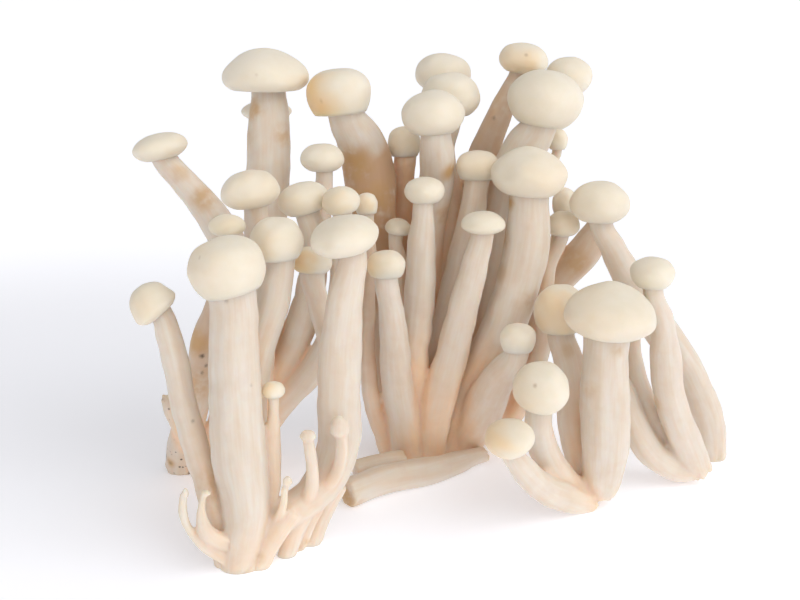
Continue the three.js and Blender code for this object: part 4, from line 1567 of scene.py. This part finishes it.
@dataclass(frozen=True)
class Lamp:
    """A wide, soft light.

    Args:
        name: Its name.
        origin: Where it shines from, as a direction.
        strength: Its strength.
        color: Its colour.
        spread: Degrees across it.
    """

    name: str
    origin: Point
    strength: float
    color: Color
    spread: float = 60.0

    def build(self) -> None:
        """Add the light to the scene."""
        light = bpy.data.lights.new(self.name, "SUN")
        light.energy, light.color = self.strength, self.color
        light.angle = math.radians(self.spread)
        lamp = in_scene(self.name, light)
        lamp.rotation_euler = Vector(self.origin).to_track_quat("Z", "Y").to_euler()


@dataclass
class Studio:
    """The camera, the table and soft light, in metres.

    Args:
        shift: From the table's coordinates to the frame's, in mm.
    """

    shift: Array
    eye: Point = (0.0, -275.3, 113.8)  # mm, in the table's coordinates
    pitch: float = 15.0  # degrees below level
    focal: float = 54.0  # mm
    sensor: float = 36.0  # mm
    nearest: float = 0.01
    floor_size: float = 60.0
    floor_sides: int = 96
    daylight: Paint = (1.0, 1.0, 1.0, 1.0)
    left_strength: float = 0.36
    right_strength: float = 0.66
    lamps: tuple[Lamp, ...] = (
        Lamp("key", (0.75, -0.55, 0.8), 1.1, (1.0, 0.99, 0.975)),
        Lamp("fill", (-0.2, -1.0, 0.35), 0.45, (1.0, 0.985, 0.965)),
    )

    def camera(self) -> None:
        """Set the camera."""
        lens = bpy.data.cameras.new("camera")
        lens.lens, lens.sensor_width, lens.clip_start = self.focal, self.sensor, self.nearest
        camera = in_scene("camera", lens)
        camera.location = (np.array(self.eye) + self.shift) * MM
        camera.rotation_euler = (math.radians(90 - self.pitch), 0, 0)
        bpy.context.scene.camera = camera

    def table(self) -> None:
        """Lay the table surface."""
        body = bmesh.new()
        bmesh.ops.create_circle(
            body, cap_ends=True, segments=self.floor_sides, radius=self.floor_size
        )
        mesh = mesh_of(body, "table")
        mesh.materials.append(Tabletop().build())
        table = in_scene("table", mesh)
        table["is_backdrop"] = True

    def sky(self) -> None:
        """Light everything softly from all round, more from the right."""
        world = bpy.data.worlds.new("daylight")
        world.use_nodes = True
        nodes, links = world.node_tree.nodes, world.node_tree.links
        sky = nodes["Background"]
        sky.inputs["Color"].default_value = self.daylight
        toward = nodes.new("ShaderNodeTexCoord")
        split = nodes.new("ShaderNodeSeparateXYZ")
        fade = nodes.new("ShaderNodeMapRange")
        fade.inputs["From Min"].default_value = -1.0
        fade.inputs["To Min"].default_value = self.left_strength
        fade.inputs["To Max"].default_value = self.right_strength
        links.new(toward.outputs["Generated"], split.inputs["Vector"])
        links.new(split.outputs["X"], fade.inputs["Value"])
        links.new(fade.outputs["Result"], sky.inputs["Strength"])
        bpy.context.scene.world = world
        bpy.context.scene.view_settings.view_transform = "Standard"

    def build(self) -> None:
        """Set everything up."""
        self.camera()
        self.table()
        self.sky()
        for lamp in self.lamps:
            lamp.build()


class Bunch:
    """The whole cluster."""

    def __init__(self) -> None:
        """Place the table's mushrooms in the frame."""
        self.shift = self.frame_shift()
        self.stems: dict[str, list[Stem]] = {}
        number = 0
        for clump, mushrooms in CLUMPS.items():
            self.stems[clump] = []
            for mushroom in mushrooms:
                number += 1
                self.stems[clump].append(Stem(mushroom, self.shift, number))
        self.around = Surroundings([stem for stems in self.stems.values() for stem in stems])

    @staticmethod
    def capped(clump: str) -> list[tuple[str, Mushroom]]:
        """The frame's cap nodes of a clump, each with its mushroom."""
        wearers = [one for one in CLUMPS[clump] if one.cap and not one.pin]
        return [(f"cap_{clump}_{place}", one) for place, one in enumerate(wearers, start=1)]

    def frame_shift(self) -> Array:
        """How far the frame lies from the table's coordinates, from the middles of its caps.

        Returns:
            The shift along X, Y and Z, in mm.
        """
        shifts = []
        for clump in CLUMPS:
            for node, mushroom in self.capped(clump):
                if mushroom.lean == (0.0, 0.0):
                    low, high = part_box(node)
                    middle = (np.array(low) + np.array(high)) / 2 / MM
                    shifts.append(middle[:2] - np.array(mushroom.cap[:2]))
        across, back = np.mean(shifts, axis=0)
        return np.array([across, back, 0.0])

    def build(self) -> None:
        """Make every piece."""
        flesh, skin = StemFlesh().build(), CapSkin().build()
        spots = tuple(
            Spot(kind, np.array(row[:3]) + self.shift, *row[3:])
            for kind, rows in SPOTS.items() for row in rows
        )
        number = 0
        for clump, stems in self.stems.items():
            Clump(clump, stems, self.around, spots, WARMTH[clump]).build(flesh)
            for node, mushroom in self.capped(clump):
                number += 1
                Cap(node, mushroom, self.shift, number, spots).build(skin)


def write_sizes() -> None:
    """Work out the frame's box and the finished model's box, without writing them anywhere."""
    boxes = [[list(map(float, corner)) for corner in box] for box in (CAD_BOX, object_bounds())]


def main() -> None:
    """Build the cluster and its studio."""
    logging.basicConfig(level=logging.INFO, format="%(message)s")
    bunch = Bunch()
    bunch.build()
    Studio(bunch.shift).build()
    write_sizes()


if __name__ == "__main__":
    main()
